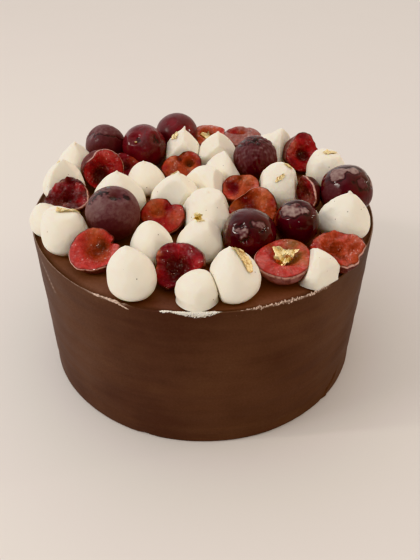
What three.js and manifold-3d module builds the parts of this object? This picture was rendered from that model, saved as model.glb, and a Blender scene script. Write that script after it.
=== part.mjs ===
// Black forest cake: a tall round cake in a scraped chocolate coat, with its top crowded with
// piped cream kisses, whole dark cherries, pitted cherry halves and scraps of gold leaf.
// Millimetres, +Z up. The origin is the middle of the underside and the front of the cake is -Y.

import * as THREE from 'three';
import { mergeVertices } from 'three/addons/utils/BufferGeometryUtils.js';
import Module from 'manifold-3d';

const wasm = await Module();
wasm.setup();

// ---------------------------------------------------------------- cake, driving dimensions

const CAKE_RADIUS = 80; // wall at the rim
const CAKE_TOP = 78; // flat top that the toppings rest on
const WALL_TAPER = 0.8; // how much narrower the foot is than the rim
const FOOT_ROUNDING = 1.2;
const LIP_RISE = 1.2; // thin edge that the scraper leaves standing round the top
const LIP_CREST_INSET = 0.7; // crest of that edge, in from the wall
const LIP_FOOT_INSET = 2.6; // where the edge meets the flat top
const SHOULDER_DROP = 0.6; // the last band of the wall ends this far below the top
const WALL_WAVE = 0.55; // how far the wall swells in and out
const CAKE_SEGMENTS = 64;
const WALL_BANDS = 5;

// ---------------------------------------------------------------- toppings, driving dimensions

const GAP = 0.3; // left between pieces that touch
const KISS_SEGMENTS = 14;
const KISS_BANDS = 8;
const CHERRY_SEGMENTS = 14;
const CHERRY_BANDS = 8;
const HALF_SEGMENTS = 16;
const HALF_DEPTH = 0.8; // depth of half a cherry, as a share of its radius
const PIT_RADIUS = 0.42; // mouth of the hollow that the stone leaves
const PIT_DEPTH = 0.42;
const STEM_DIMPLE = 0.1; // depth of the dimple at the stem end
const DIMPLE_WIDTH = 0.34; // radians
const LEAF_THICKNESS = 0.8;

// How readily each kind gives way where two pieces press together.
const SOFTNESS = { kiss: 1, half: 0.3, cherry: 0.06 };
const SET_LATER = 5; // one this much nearer the front gives way e times less, because it came later

// Kisses, from front to back. r: widest radius; peak: height; lean: where the tip points; cone: 0
// for a dome and 1 for straight slopes; blunt: how flat the top is; foot: radius of the base, as a
// share of r; flats: [way, depth] of sides that settled flat, with the way in degrees round from +X
// and up from level.
const KISSES = [
  { x: -1.4, y: -70.5, r: 8.7, peak: 13, lean: [0.3, 0], cone: 0, blunt: 0.2, foot: 0.98,
    flats: [[[238, 8], 0.35], [[292, 12], 0.4]] },
  { x: 13, y: -66, r: 10.5, peak: 21.6, lean: [-2.3, 0], cone: 0.8,
    flats: [[[326, 36], 1.2], [[200, 38], 0.7]] },
  { x: -27, y: -66, r: 9.8, peak: 21.6, lean: [-1, 0], cone: 0.25,
    flats: [[[35, 48], 1.1], [[175, 42], 0.6]] },
  { x: 46.8, y: -57, r: 9.2, peak: 13.6, lean: [-2, 0], cone: 0.2, blunt: 0.2, foot: 0.97,
    flats: [[[309, 5], 3.2], [[309, 40], 1.0]] },
  { x: -21, y: -43, r: 9.2, peak: 18.2, lean: [-0.2, 0], cone: 0.3,
    flats: [[[18, 44], 0.8]] },
  { x: -0.6, y: -41, r: 10, peak: 18.3, lean: [1, 0], cone: 0.6, blunt: 0.3,
    flats: [[[188, 38], 1.0], [[350, 36], 1.1], [[280, 70], 0.4]] },
  { x: -58.6, y: -35, r: 10.5, peak: 19.2, lean: [-2.2, 0], cone: 0.1, blunt: 0.6,
    flats: [[[40, 76], 1.1]] },
  { x: -68, y: -23, r: 8.4, peak: 14.6, lean: [-3, 0], cone: 0.5,
    flats: [[[30, 52], 0.9]] },
  { x: 63, y: -23, r: 11.3, peak: 20.9, lean: [1.1, 0], cone: 1,
    flats: [[[212, 36], 1.0], [[322, 34], 1.0]] },
  { x: 3, y: -18, r: 12.8, peak: 18.4, lean: [-1, 0], cone: 0.85, blunt: 0.8,
    flats: [[[230, 48], 0.7], [[328, 38], 1.0], [[280, 76], 0.5]] },
  { x: -39, y: -7, r: 12, peak: 21.9, lean: [0, 0], cone: 0.9,
    flats: [[[190, 38], 0.9], [[340, 38], 0.9]] },
  { x: -12, y: -6, r: 12.2, peak: 20.9, lean: [0.8, 0], cone: 0.95,
    flats: [[[2, 40], 2.0], [[222, 36], 0.8]] },
  { x: 36.6, y: 4, r: 12.2, peak: 20.8, lean: [-0.8, 0], cone: 0.95, blunt: 0.5,
    flats: [[[265, 60], 0.5], [[350, 34], 0.6]] },
  { x: 2, y: 6, r: 12.2, peak: 17.1, lean: [-0.8, 0], cone: 0.6, blunt: 0.5,
    flats: [[[262, 52], 0.9], [[350, 42], 0.6]] },
  { x: -67.5, y: 8, r: 9.8, peak: 20.2, lean: [1.6, 0], cone: 0.9,
    flats: [[[350, 40], 0.9]] },
  { x: -28, y: 15, r: 9.5, peak: 15.6, lean: [-1.2, 0], cone: 0.6,
    flats: [[[215, 40], 0.6]] },
  { x: 61, y: 21, r: 10, peak: 19, lean: [-0.4, 0], cone: 0, blunt: 0.6,
    flats: [[[70, 80], 0.8], [[250, 15], 0.7]] },
  { x: 10.4, y: 23, r: 10.7, peak: 17.4, lean: [0, 0], cone: 1.1,
    flats: [[[226, 38], 1.6], [[318, 34], 1.2]] },
  { x: -65.3, y: 29, r: 9.4, peak: 19, lean: [1.0, 0], cone: 0.9,
    flats: [[[0, 38], 1.4]] },
  { x: 7, y: 39, r: 10.4, peak: 20, lean: [0.3, 0], cone: 0.8,
    flats: [[[232, 34], 1.5], [[328, 34], 2.0]] },
  { x: -11, y: 41, r: 10.1, peak: 20.9, lean: [0.5, 0], cone: 0.95,
    flats: [[[225, 36], 1.2], [[318, 32], 0.9]] },
  { x: 39, y: 44, r: 10.4, peak: 20.2, lean: [1.4, 0], cone: 1,
    flats: [[[210, 36], 0.7], [[338, 36], 1.0]] },
  { x: 33, y: 54, r: 9, peak: 12.6, lean: [5.5, 0], cone: 0.6,
    flats: [[[250, 50], 1.2]] },
];

// Whole cherries. tall: height as a share of the width; stem: way the dimple faces, in degrees
// round from +X and up from level.
const CHERRIES = [
  { x: -52, y: 46, r: 10.3, tall: 0.98, stem: [200, 40] },
  { x: -31, y: 41, r: 11.4, tall: 0.98, stem: [250, 60] },
  { x: -15, y: 57, r: 11.3, tall: 0.97, stem: [60, 20] },
  { x: -39, y: -26, r: 12, tall: 0.98, stem: [20, 45] },
  { x: 26, y: 28, r: 11.2, tall: 1, stem: [80, 20] },
  { x: 20, y: -39, r: 11.4, tall: 0.92, stem: [180, 15] },
  { x: 41, y: -30, r: 9.8, tall: 1.02, stem: [280, 72] },
  { x: 66, y: -5, r: 12.2, tall: 0.97, stem: [20, 10] },
];

// Cherry halves. face: way the cut face looks, in degrees round from +X and up from level;
// lift: how far it is held off the cake by what it leans on; cleft: depth of the notch in the
// outline and its place, in degrees round the face from its lowest edge; ragged: how torn it is.
const HALVES = [
  { x: -9, y: -60, r: 10.9, face: [240, 47], lift: 0, cleft: [0.08, 180], ragged: 0.04 },
  { x: 33, y: -56, r: 11.2, face: [270, 80], lift: 0, cleft: [0.04, 190], ragged: 0.02 },
  { x: -44, y: -50, r: 10.8, face: [260, 52], lift: 0, cleft: [0.25, 128], ragged: 0.05 },
  { x: 56, y: -49, r: 11, face: [250, 68], lift: 0, cleft: [0.14, 175], ragged: 0.06 },
  { x: -17, y: -22, r: 10.3, face: [275, 55], lift: 0, cleft: [0.28, 160], ragged: 0.04 },
  { x: 22, y: -17, r: 11.8, face: [255, 42], lift: 0, cleft: [0.06, 210], ragged: 0.06 },
  { x: -62, y: -8, r: 11.2, face: [222, 70], lift: 1, cleft: [0.12, 200], ragged: 0.1 },
  { x: 48, y: -3, r: 9.6, face: [195, 15], lift: 0, cleft: [0.12, 90], ragged: 0.1 },
  { x: 19, y: 3, r: 10, face: [265, 62], lift: 0, cleft: [0.14, 190], ragged: 0.08 },
  { x: -50, y: 17, r: 11, face: [300, 30], lift: 0, cleft: [0.04, 0], ragged: 0.02 },
  { x: -11, y: 25, r: 10.4, face: [270, 60], lift: 0, cleft: [0.28, 180], ragged: 0.05 },
  { x: -40, y: 27, r: 8.8, face: [280, 62], lift: 0, cleft: [0.1, 0], ragged: 0.08 },
  { x: 51, y: 37, r: 10.6, face: [290, 38], lift: 0, cleft: [0.06, 0], ragged: 0.08 },
  { x: 20, y: 59, r: 10.9, face: [270, 84], lift: 0, cleft: [0.05, 0], ragged: 0.03 },
  { x: 2, y: 61, r: 10.5, face: [270, 80], lift: 0, cleft: [0.1, 200], ragged: 0.05 },
];

// Gold leaf. on: the piece that carries it; at: way to it from that piece's heart, in degrees
// round from +X and up from level; size: length and width; turn: degrees about that way;
// stands: how far its middle stands off what carries it; curl: radius that it is bent to;
// faces: way it looks, where it stands up instead of lying flat.
const LEAVES = [
  { on: 'half_02', at: [20, 82], size: [11, 9.5], turn: 0, stands: 7.4, curl: 30, faces: [265, 52] },
  { on: 'kiss_07', at: [44, 72], size: [9, 3.2], turn: 5, stands: 0.2, curl: 12 },
  { on: 'kiss_02', at: [350, 56], size: [9.6, 2.6], turn: 336, stands: 0.2, curl: 16 },
  { on: 'kiss_06', at: [115, 83], size: [4.6, 4.6], turn: 0, stands: 1.5, curl: 12, faces: [270, 35] },
  { on: 'kiss_17', at: [290, 86], size: [6.5, 2.8], turn: 10, stands: 0.2, curl: 9 },
  { on: 'kiss_13', at: [350, 74], size: [5.5, 2.4], turn: 345, stands: 0.2, curl: 10 },
  { on: 'kiss_13', at: [262, 50], size: [6.5, 2.6], turn: 30, stands: 0.2, curl: 9 },
  { on: 'kiss_21', at: [200, 50], size: [5, 4.5], turn: 0, stands: 0.5, curl: 9 },
  { on: 'half_15', at: [170, 56], size: [6.5, 4.5], turn: 20, stands: 0.8, curl: 12 },
];

// ---------------------------------------------------------------- finishes

const CHOCOLATE = new THREE.MeshStandardMaterial({ color: 0x4a2b1e, roughness: 0.5, metalness: 0 });
const CREAM = new THREE.MeshStandardMaterial({ color: 0xf1eadb, roughness: 0.55, metalness: 0 });
const CHERRY_SKIN = new THREE.MeshStandardMaterial({ color: 0x3d1420, roughness: 0.25, metalness: 0 });
const CHERRY_FLESH = new THREE.MeshStandardMaterial({ color: 0x9c2a22, roughness: 0.3, metalness: 0 });

// ---------------------------------------------------------------- helpers

const degrees = THREE.MathUtils.degToRad;

function mulberry(seed) {
  let state = seed;
  return () => {
    state = (state + 0x6d2b79f5) | 0;
    let mixed = Math.imul(state ^ (state >>> 15), 1 | state);
    mixed = (mixed + Math.imul(mixed ^ (mixed >>> 7), 61 | mixed)) ^ mixed;
    return ((mixed ^ (mixed >>> 14)) >>> 0) / 4294967296;
  };
}

/** Unit vector that lies `around` degrees from +X and `up` degrees above level. */
function heading([around, up]) {
  const level = Math.cos(degrees(up));
  const x = level * Math.cos(degrees(around));
  const y = level * Math.sin(degrees(around));
  return new THREE.Vector3(x, y, Math.sin(degrees(up)));
}

/** Merge shared vertices and drop the flat triangles at a lathe's poles: one closed skin. */
function closed(geometry) {
  geometry.deleteAttribute('normal');
  geometry.deleteAttribute('uv');
  const merged = mergeVertices(geometry, 1e-3);
  const kept = [];
  const index = merged.index.array;
  for (let i = 0; i < index.length; i += 3) {
    const [a, b, c] = [index[i], index[i + 1], index[i + 2]];
    if (a !== b && b !== c && c !== a) kept.push(a, b, c);
  }
  merged.setIndex(kept);
  return merged;
}

/** Closed solid of revolution about Z from [radius, height] points that start and end on the axis. */
function turned(points, segments) {
  const profile = points.map(([radius, height]) => new THREE.Vector2(radius, height));
  return closed(new THREE.LatheGeometry(profile, segments).rotateX(Math.PI / 2));
}

/** Move every vertex of a geometry by a function that changes the vector it is given. */
function sculpt(geometry, move) {
  const position = geometry.attributes.position;
  const point = new THREE.Vector3();
  for (let i = 0; i < position.count; i++) {
    move(point.fromBufferAttribute(position, i));
    position.setXYZ(i, point.x, point.y, point.z);
  }
  return geometry;
}

function toSolid(geometry) {
  const vertProperties = new Float32Array(geometry.attributes.position.array);
  const triVerts = new Uint32Array(geometry.index.array);
  return new wasm.Manifold(new wasm.Mesh({ numProp: 3, vertProperties, triVerts }));
}

function toGeometry(solid) {
  const { vertProperties, triVerts } = solid.getMesh();
  const geometry = new THREE.BufferGeometry();
  geometry.setAttribute('position', new THREE.BufferAttribute(vertProperties, 3));
  geometry.setIndex(new THREE.BufferAttribute(triVerts, 1));
  return geometry;
}

/** The outermost skin of a solid, with any hollow sealed inside it filled. */
function outerShell(solid) {
  return solid.decompose().reduce((a, b) => (b.volume() > a.volume() ? b : a));
}

// ---------------------------------------------------------------- cake body

/** How far the scraped wall stands in or out of true at an angle and a height. */
function wallWave(angle, z) {
  const slow = Math.sin(2 * angle + 0.6) + 0.7 * Math.sin(3 * angle - 1.1 + z / 31);
  const quick = 0.45 * Math.sin(5 * angle + z / 17) + 0.3 * Math.sin(9 * angle - z / 23);
  return (WALL_WAVE * (slow + quick)) / 2;
}

function cakeBody() {
  const foot = CAKE_RADIUS - WALL_TAPER;
  const points = [[0, 0], [foot * 0.5, 0], [foot - FOOT_ROUNDING, 0]];
  for (let band = 0; band <= WALL_BANDS; band++) {
    const share = band / WALL_BANDS;
    const z = THREE.MathUtils.lerp(FOOT_ROUNDING, CAKE_TOP - SHOULDER_DROP, share);
    points.push([foot + WALL_TAPER * share, z]);
  }
  points.push([CAKE_RADIUS - 0.1, CAKE_TOP + LIP_RISE * 0.7]);
  points.push([CAKE_RADIUS - LIP_CREST_INSET, CAKE_TOP + LIP_RISE]);
  points.push([CAKE_RADIUS - LIP_CREST_INSET - 0.6, CAKE_TOP + LIP_RISE * 0.5]);
  points.push([CAKE_RADIUS - LIP_FOOT_INSET, CAKE_TOP]);
  points.push([CAKE_RADIUS * 0.5, CAKE_TOP], [0, CAKE_TOP]);
  return sculpt(turned(points, CAKE_SEGMENTS), (p) => {
    const radius = Math.hypot(p.x, p.y);
    if (radius < CAKE_RADIUS - LIP_FOOT_INSET - 0.1) return;
    const scale = (radius + wallWave(Math.atan2(p.y, p.x), p.z)) / radius;
    p.x *= scale;
    p.y *= scale;
  });
}

/** Lowest height that a topping may reach at a distance from the cake's middle. */
function restingHeight(radius) {
  const rise = THREE.MathUtils.smoothstep(radius, CAKE_RADIUS - 11, CAKE_RADIUS - LIP_FOOT_INSET - 1);
  return CAKE_TOP + GAP + LIP_RISE * rise;
}

// ---------------------------------------------------------------- toppings

const DOME = [[0.66, 0], [0.95, 0.19], [1, 0.39], [0.94, 0.58], [0.76, 0.77], [0.42, 0.92], [0, 1]];
const SLOPE = [[0.74, 0], [0.97, 0.16], [1, 0.34], [0.87, 0.55], [0.58, 0.76], [0.22, 0.93], [0, 1]];
const BLUNTED = [0, 0, 0, 0.02, 0.08, 0.24, 0];

/** Outline of a kiss, between a dome's and a straight-sided cone's. */
function kissOutline({ r, peak, cone, blunt = 0, foot }) {
  const corners = DOME.map(([wide, high], i) => new THREE.Vector2(
    (THREE.MathUtils.lerp(wide, SLOPE[i][0], cone) + blunt * BLUNTED[i]) * r,
    THREE.MathUtils.lerp(high, SLOPE[i][1], cone) * peak,
  ));
  if (foot) corners[0].x = foot * r;
  return new THREE.SplineCurve(corners).getPoints(KISS_BANDS).map((p) => [Math.max(p.x, 0), p.y]);
}

/** A cream kiss: round body on a narrower base, drawn up to a leaning tip. */
function kiss(spec, random) {
  const { peak, lean, flats } = spec;
  const phase = random() * Math.PI * 2;
  const wobble = 0.02 + 0.02 * random();
  const solid = sculpt(turned([[0, 0], ...kissOutline(spec)], KISS_SEGMENTS), (p) => {
    const angle = Math.atan2(p.y, p.x);
    const swell = 1 + wobble * Math.sin(2 * angle + phase) + 0.012 * Math.sin(3 * angle - phase);
    const bend = (p.z / peak) ** 3;
    p.set(p.x * swell + lean[0] * bend, p.y * swell + lean[1] * bend, p.z);
  });
  // Slack cream settles into flat sides, but keeps its tip and its base.
  for (const [way, depth] of flats) {
    const towards = heading(way);
    let reach = 0;
    sculpt(solid, (p) => { reach = Math.max(reach, p.dot(towards)); });
    sculpt(solid, (p) => {
      const over = p.dot(towards) - (reach - depth);
      const kept = p.z > peak - 0.1 || (p.z < 0.1 && way[1] > 20);
      if (over > 0 && !kept) p.addScaledVector(towards, -over);
    });
  }
  return solid;
}

/** A whole cherry: a slightly squat ball, dimpled and creased at its stem end. */
function cherry({ r, tall, stem }, random) {
  const ball = closed(new THREE.SphereGeometry(r, CHERRY_SEGMENTS, CHERRY_BANDS).rotateX(Math.PI / 2));
  const towards = heading(stem);
  const phase = random() * Math.PI * 2;
  return sculpt(ball, (p) => {
    const nearness = Math.acos(THREE.MathUtils.clamp(p.dot(towards) / r, -1, 1));
    const dimple = STEM_DIMPLE * Math.exp(-((nearness / DIMPLE_WIDTH) ** 2));
    const shoulder = 0.035 * Math.exp(-(((nearness - 0.75) / 0.4) ** 2));
    const lump = 0.014 * Math.sin(2.1 * p.x + phase) * Math.cos(0.17 * r * p.y - phase);
    p.multiplyScalar(1 - dimple + shoulder + lump);
    p.z *= tall;
  });
}

/** Half a cherry, cut face on top: skin below, a rounded rim, and the hollow left by the stone. */
function half({ r, face, cleft, ragged }, random) {
  const depth = HALF_DEPTH * r;
  const skin = [8, 30, 52, 74].map((angle) => {
    const share = degrees(angle);
    return [r * Math.sin(share), -depth * Math.cos(share)];
  });
  const cut = [
    [r, -0.04 * r],
    [0.94 * r, 0.05 * r],
    [(PIT_RADIUS + 0.12) * r, 0.03 * r],
    [PIT_RADIUS * r, -0.08 * r],
    [PIT_RADIUS * r * 0.6, -PIT_DEPTH * r * 0.85],
    [0, -PIT_DEPTH * r],
  ];
  const phase = random() * Math.PI * 2;
  const solid = sculpt(turned([[0, -depth], ...skin.slice(1), ...cut], HALF_SEGMENTS), (p) => {
    const angle = Math.atan2(p.y, p.x);
    const fromCleft = Math.acos(Math.cos(angle - degrees(cleft[1])));
    const notch = cleft[0] * Math.exp(-((fromCleft / 0.42) ** 2));
    const tear = ragged * (Math.sin(3 * angle + phase) + 0.6 * Math.sin(5 * angle - 2 * phase));
    const edge = THREE.MathUtils.smoothstep(Math.hypot(p.x, p.y), 0.3 * r, r);
    const rise = THREE.MathUtils.smoothstep(p.z, -0.5 * depth, 0);
    const scale = 1 - edge * (notch + 0.5 * tear * rise);
    p.set(p.x * scale, p.y * scale, p.z + ragged * r * rise * edge * Math.sin(4 * angle + phase));
  });
  const [around, up] = face;
  const sideways = new THREE.Matrix4().makeRotationZ(degrees(around));
  const tipped = new THREE.Matrix4().makeRotationY(degrees(90 - up));
  return solid.applyMatrix4(sideways.multiply(tipped));
}

/** Height of a half's middle above the cake when its skin or rim touches down. */
function halfHeight({ r, face }) {
  const up = degrees(face[1]);
  return Math.hypot(r * Math.cos(up), HALF_DEPTH * r * Math.sin(up));
}

/** Every topping as { name, kind, geometry, position, heart }; heart is a point well inside it. */
function makeToppings() {
  const creamRandom = mulberry(7);
  const random = mulberry(2015813111);
  const number = (i) => String(i + 1).padStart(2, '0');
  const floor = CAKE_TOP + GAP;
  const kisses = KISSES.map((spec, i) => ({
    name: `kiss_${number(i)}`,
    kind: 'kiss',
    geometry: kiss(spec, creamRandom),
    position: new THREE.Vector3(spec.x, spec.y, floor),
    heart: new THREE.Vector3(0, 0, 0.4 * spec.peak),
  }));
  const cherries = CHERRIES.map((spec, i) => ({
    name: `cherry_${number(i)}`,
    kind: 'cherry',
    geometry: cherry(spec, random),
    position: new THREE.Vector3(spec.x, spec.y, floor + spec.r * spec.tall * 0.97),
    heart: new THREE.Vector3(0, 0, 0),
  }));
  const halves = HALVES.map((spec, i) => ({
    name: `half_${number(i)}`,
    kind: 'half',
    geometry: half(spec, random),
    position: new THREE.Vector3(spec.x, spec.y, floor + halfHeight(spec) + spec.lift),
    heart: heading(spec.face).multiplyScalar(-0.62 * HALF_DEPTH * spec.r),
  }));
  return [...kisses, ...cherries, ...halves];
}

// ---------------------------------------------------------------- pressing the toppings together

/** Directions spread evenly over a sphere. */
function spreadDirections(count) {
  const golden = Math.PI * (3 - Math.sqrt(5));
  return Array.from({ length: count }, (_, i) => {
    const z = 1 - (2 * (i + 0.5)) / count;
    const level = Math.sqrt(1 - z * z);
    return new THREE.Vector3(level * Math.cos(i * golden), level * Math.sin(i * golden), z);
  });
}

function worldPoints(piece) {
  const position = piece.geometry.attributes.position;
  return Array.from({ length: position.count }, (_, i) =>
    new THREE.Vector3().fromBufferAttribute(position, i).add(piece.position));
}

/** The plane that parts two pieces with the least loss to them, or null if they are clear. */
function partingPlane(a, b, directions) {
  const heartA = a.heart.clone().add(a.position);
  const heartB = b.heart.clone().add(b.position);
  const firm = a.kind === 'cherry' || b.kind === 'cherry';
  const later = firm ? 1 : Math.exp((b.position.y - a.position.y) / SET_LATER);
  const share = SOFTNESS[a.kind] / (SOFTNESS[a.kind] + SOFTNESS[b.kind] * later);
  const between = heartB.clone().sub(heartA).normalize();
  let best = null;
  for (const normal of [between, ...directions]) {
    const reachA = Math.max(...a.points.map((p) => p.dot(normal)));
    const reachB = Math.min(...b.points.map((p) => p.dot(normal)));
    const overlap = reachA - reachB + GAP;
    if (overlap <= 0) return null;
    const lowest = heartA.dot(normal) + 3 + GAP;
    const highest = heartB.dot(normal) - 3 - GAP;
    if (lowest > highest || (best && overlap >= best.overlap)) continue;
    const wanted = reachA + GAP / 2 - overlap * share;
    best = { normal, overlap, offset: THREE.MathUtils.clamp(wanted, lowest, highest) };
  }
  return best;
}

/** Press each pair of touching toppings flat against the plane that parts them. */
function pressTogether(pieces) {
  const directions = spreadDirections(160);
  for (const piece of pieces) {
    piece.points = worldPoints(piece);
    piece.planes = [];
    piece.reach = Math.max(...piece.points.map((p) => p.distanceTo(piece.position)));
  }
  pieces.forEach((a, i) => {
    for (const b of pieces.slice(i + 1)) {
      if (a.position.distanceTo(b.position) > a.reach + b.reach + GAP) continue;
      const plane = partingPlane(a, b, directions);
      if (!plane) continue;
      a.planes.push({ normal: plane.normal, offset: plane.offset - GAP / 2 });
      b.planes.push({ normal: plane.normal.clone().negate(), offset: -plane.offset - GAP / 2 });
    }
  });
  for (const piece of pieces) {
    const heart = piece.heart.clone().add(piece.position);
    sculpt(piece.geometry, (p) => {
      p.add(piece.position);
      // Cream is pushed straight back first; what is left over a plane goes towards the heart.
      if (piece.kind === 'kiss') {
        for (const { normal, offset } of [...piece.planes, ...piece.planes]) {
          p.addScaledVector(normal, -Math.max(normal.dot(p) - offset, 0));
        }
        p.z = Math.max(p.z, restingHeight(Math.hypot(p.x, p.y)));
      }
      for (const { normal, offset } of piece.planes) {
        const over = normal.dot(p) - offset;
        if (over > 0) p.lerp(heart, over / (over + offset - normal.dot(heart)));
      }
      p.z = Math.max(p.z, restingHeight(Math.hypot(p.x, p.y)));
      p.sub(piece.position);
    });
  }
}

// ---------------------------------------------------------------- gold leaf

/** A crumpled scrap of leaf lying on XY, curled down at its edges. */
function leafSheet([length, width], curl, random) {
  const sheet = closed(new THREE.BoxGeometry(length, width, LEAF_THICKNESS, 4, 3, 1));
  const phase = random() * Math.PI * 2;
  return sculpt(sheet, (p) => {
    const ragged = 1 + 0.18 * Math.sin(5 * Math.atan2(p.y, p.x) + phase);
    const crumple = 0.3 * Math.sin(1.3 * p.x + phase) * Math.cos(1.7 * p.y - phase);
    p.z += crumple - p.lengthSq() / (2 * curl);
    p.x *= ragged;
    p.y *= ragged;
  });
}

/** Set a scrap of leaf on a topping and fuse the two into one solid. */
function gild(piece, { at, size, turn, stands, curl, faces = at }, random) {
  const outward = heading(at);
  const start = outward.clone().multiplyScalar(3 * piece.reach).add(piece.heart);
  const ray = new THREE.Raycaster(start, outward.clone().negate());
  const target = new THREE.Mesh(piece.geometry);
  target.updateMatrixWorld();
  const hit = ray.intersectObject(target)[0];
  const sheet = leafSheet(size, curl, random);
  const up = new THREE.Vector3(0, 0, 1);
  const facing = new THREE.Quaternion().setFromUnitVectors(up, heading(faces));
  const spin = new THREE.Quaternion().setFromAxisAngle(up, degrees(turn));
  sheet.applyQuaternion(facing.multiply(spin));
  const centre = hit.point.clone().addScaledVector(outward, stands);
  sheet.translate(centre.x, centre.y, centre.z);
  piece.geometry = toGeometry(outerShell(toSolid(piece.geometry).add(toSolid(sheet))));
}

// ---------------------------------------------------------------- the whole cake

const MATERIAL = { kiss: CREAM, cherry: CHERRY_SKIN, half: CHERRY_FLESH };

function blackForestCake() {
  const cake = new THREE.Group();
  const body = new THREE.Mesh(cakeBody(), CHOCOLATE);
  body.name = 'cake_body';
  cake.add(body);

  const pieces = makeToppings();
  pressTogether(pieces);
  const random = mulberry(19);
  for (const leaf of LEAVES) gild(pieces.find((piece) => piece.name === leaf.on), leaf, random);
  for (const piece of pieces) {
    const mesh = new THREE.Mesh(piece.geometry, MATERIAL[piece.kind]);
    mesh.name = piece.name;
    mesh.position.copy(piece.position);
    cake.add(mesh);
  }
  return cake;
}

export default blackForestCake();
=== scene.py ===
"""Black forest cake, dressed: chocolate coat, cream kisses, dark cherries and gold leaf.

Shapes are worked out in millimetres with +Z up, and turned to metres when a mesh is made.
The origin is the middle of the cake's underside and its front faces -Y, as in the CAD frame.
"""

import functools
import math

import bpy
import numpy as np
from mathutils import Matrix, Vector
from mathutils.bvhtree import BVHTree


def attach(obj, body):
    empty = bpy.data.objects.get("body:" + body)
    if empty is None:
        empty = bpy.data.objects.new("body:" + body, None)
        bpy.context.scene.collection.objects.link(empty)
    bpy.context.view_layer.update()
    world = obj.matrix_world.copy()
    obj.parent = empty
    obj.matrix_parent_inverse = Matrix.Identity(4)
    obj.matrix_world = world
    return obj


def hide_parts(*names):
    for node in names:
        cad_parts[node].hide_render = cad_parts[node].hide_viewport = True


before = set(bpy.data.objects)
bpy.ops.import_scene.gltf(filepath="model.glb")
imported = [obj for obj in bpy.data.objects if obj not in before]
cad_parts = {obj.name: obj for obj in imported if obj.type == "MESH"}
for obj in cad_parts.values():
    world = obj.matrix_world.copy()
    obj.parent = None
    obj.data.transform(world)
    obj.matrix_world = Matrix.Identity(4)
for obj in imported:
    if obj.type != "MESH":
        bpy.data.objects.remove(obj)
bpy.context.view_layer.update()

bl_info = {
    "name": "Black forest cake",
    "version": (1, 0, 0),
    "blender": (4, 5, 0),
    "location": "3D View > Sidebar > Cake",
    "description": "Builds a chocolate-coated cake topped with cream kisses, cherries and gold leaf",
    "category": "Add Mesh",
}

MM = 0.001
TAU = 2 * math.pi

# ------------------------------------------------------------------ cake, driving dimensions in mm

CAKE_RADIUS = 80.0
CAKE_TOP = 78.0
WALL_TAPER = 0.8
FOOT_ROUNDING = 1.2
LIP_RISE = 0.9
LIP_CREST_INSET = 0.4
LIP_FOOT_INSET = 1.6
SHOULDER_DROP = 0.6
WALL_WAVE = 0.55

# The scraped coat. Round the cake, degrees run from +X, so that the front is at -90.
EDGE_ZONE = 72.0  # the raised edge is beyond this radius and this height
EDGE_REACH = (-3.4, 3.0)  # a crust on it may go so far down the wall, and so far in over the top
CRUST_DEPTH = 0.7  # how deep a crust's underside lies in the coat
RIM_BULGES = [(-56, 14, 1.2), (-87, 10, -0.5)]  # (degrees round, half width, mm out)
# Where the raised edge is broken, as (from, to, how much, softness), and (from, to, share) where it
# was scraped off.
LIP_BREAKS = [(-125, -110, 0.3, 2), (-110, -78, -0.06, 2), (-78, -50, 0.4, 2), (-40, 10, 0.3, 8)]
LIP_LOSSES = [(-110, -101, 0.75), (-85, -76, 0.45), (-50, -20, 0.3)]
FOOT_CHIP = (-109, 2.2, 0, 1.6, 0.7)  # degrees round, half width, mm up, half height, depth
WALL_CRACK = (-62.5, 2.0, 5.5, 1.1, 0.55)
SEAM_FOOT, SEAM_LEAN = -43.5, 0.87  # degrees round at the cake's foot, and more for each mm up
SCRAPE_START, SCRAPE_HEIGHT, SCRAPE_LEAN = -150, 72, 0.84  # the same from its top down
# Radii of the rings of points on the flat top.
TOP_RINGS = [76.6, 75.8, 75, 74, 73, 72, 70.5, 69, 67.5, 66, 64, 62, 59, 55, 50, 44, 36, 28, 20, 12, 5]
TOP_TINT = (2.2, 2.07, 2.0, 1.0)  # how much paler the top is painted than the wall's coat

# How the toppings sit and give way, in mm where it isn't a share.
FLOOR_GAP = 0.3  # toppings are placed this much above the flat top, as in the CAD, then let down
REST_GAP = 0.03  # what is left under a topping that rests on the coat
REST_EDGE = 0.15  # rounding where a topping meets the coat
PRESS_GAP = 0.02  # what is left between a pressed topping and its plane
PUCKER = 0.16  # height of the puckers in cream beside what it is pressed against
HEART_MARGIN = 3  # a plane stays this far from the hearts of the toppings that it parts
DIRECTIONS = 160  # ways in which a parting plane is tried
CHERRY_SINK = 0.97  # a cherry's middle is at this share of its half height
HALF_DEPTH = 0.8  # of a half's radius
HALF_HEART = 0.62  # share of that depth
SOFT_EDGE = {"kiss": 0.32, "half": 0.2, "cherry": 0.15}  # rounding where a piece is pressed
SOFTNESS = {"kiss": 1.0, "half": 0.3, "cherry": 0.06}
SET_LATER = 5.0  # a topping this much nearer the front gives way e times less, because it came later

# ------------------------------------------------------------------ toppings, sizes in mm

# A way is (degrees round from +X, degrees above level).

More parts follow.
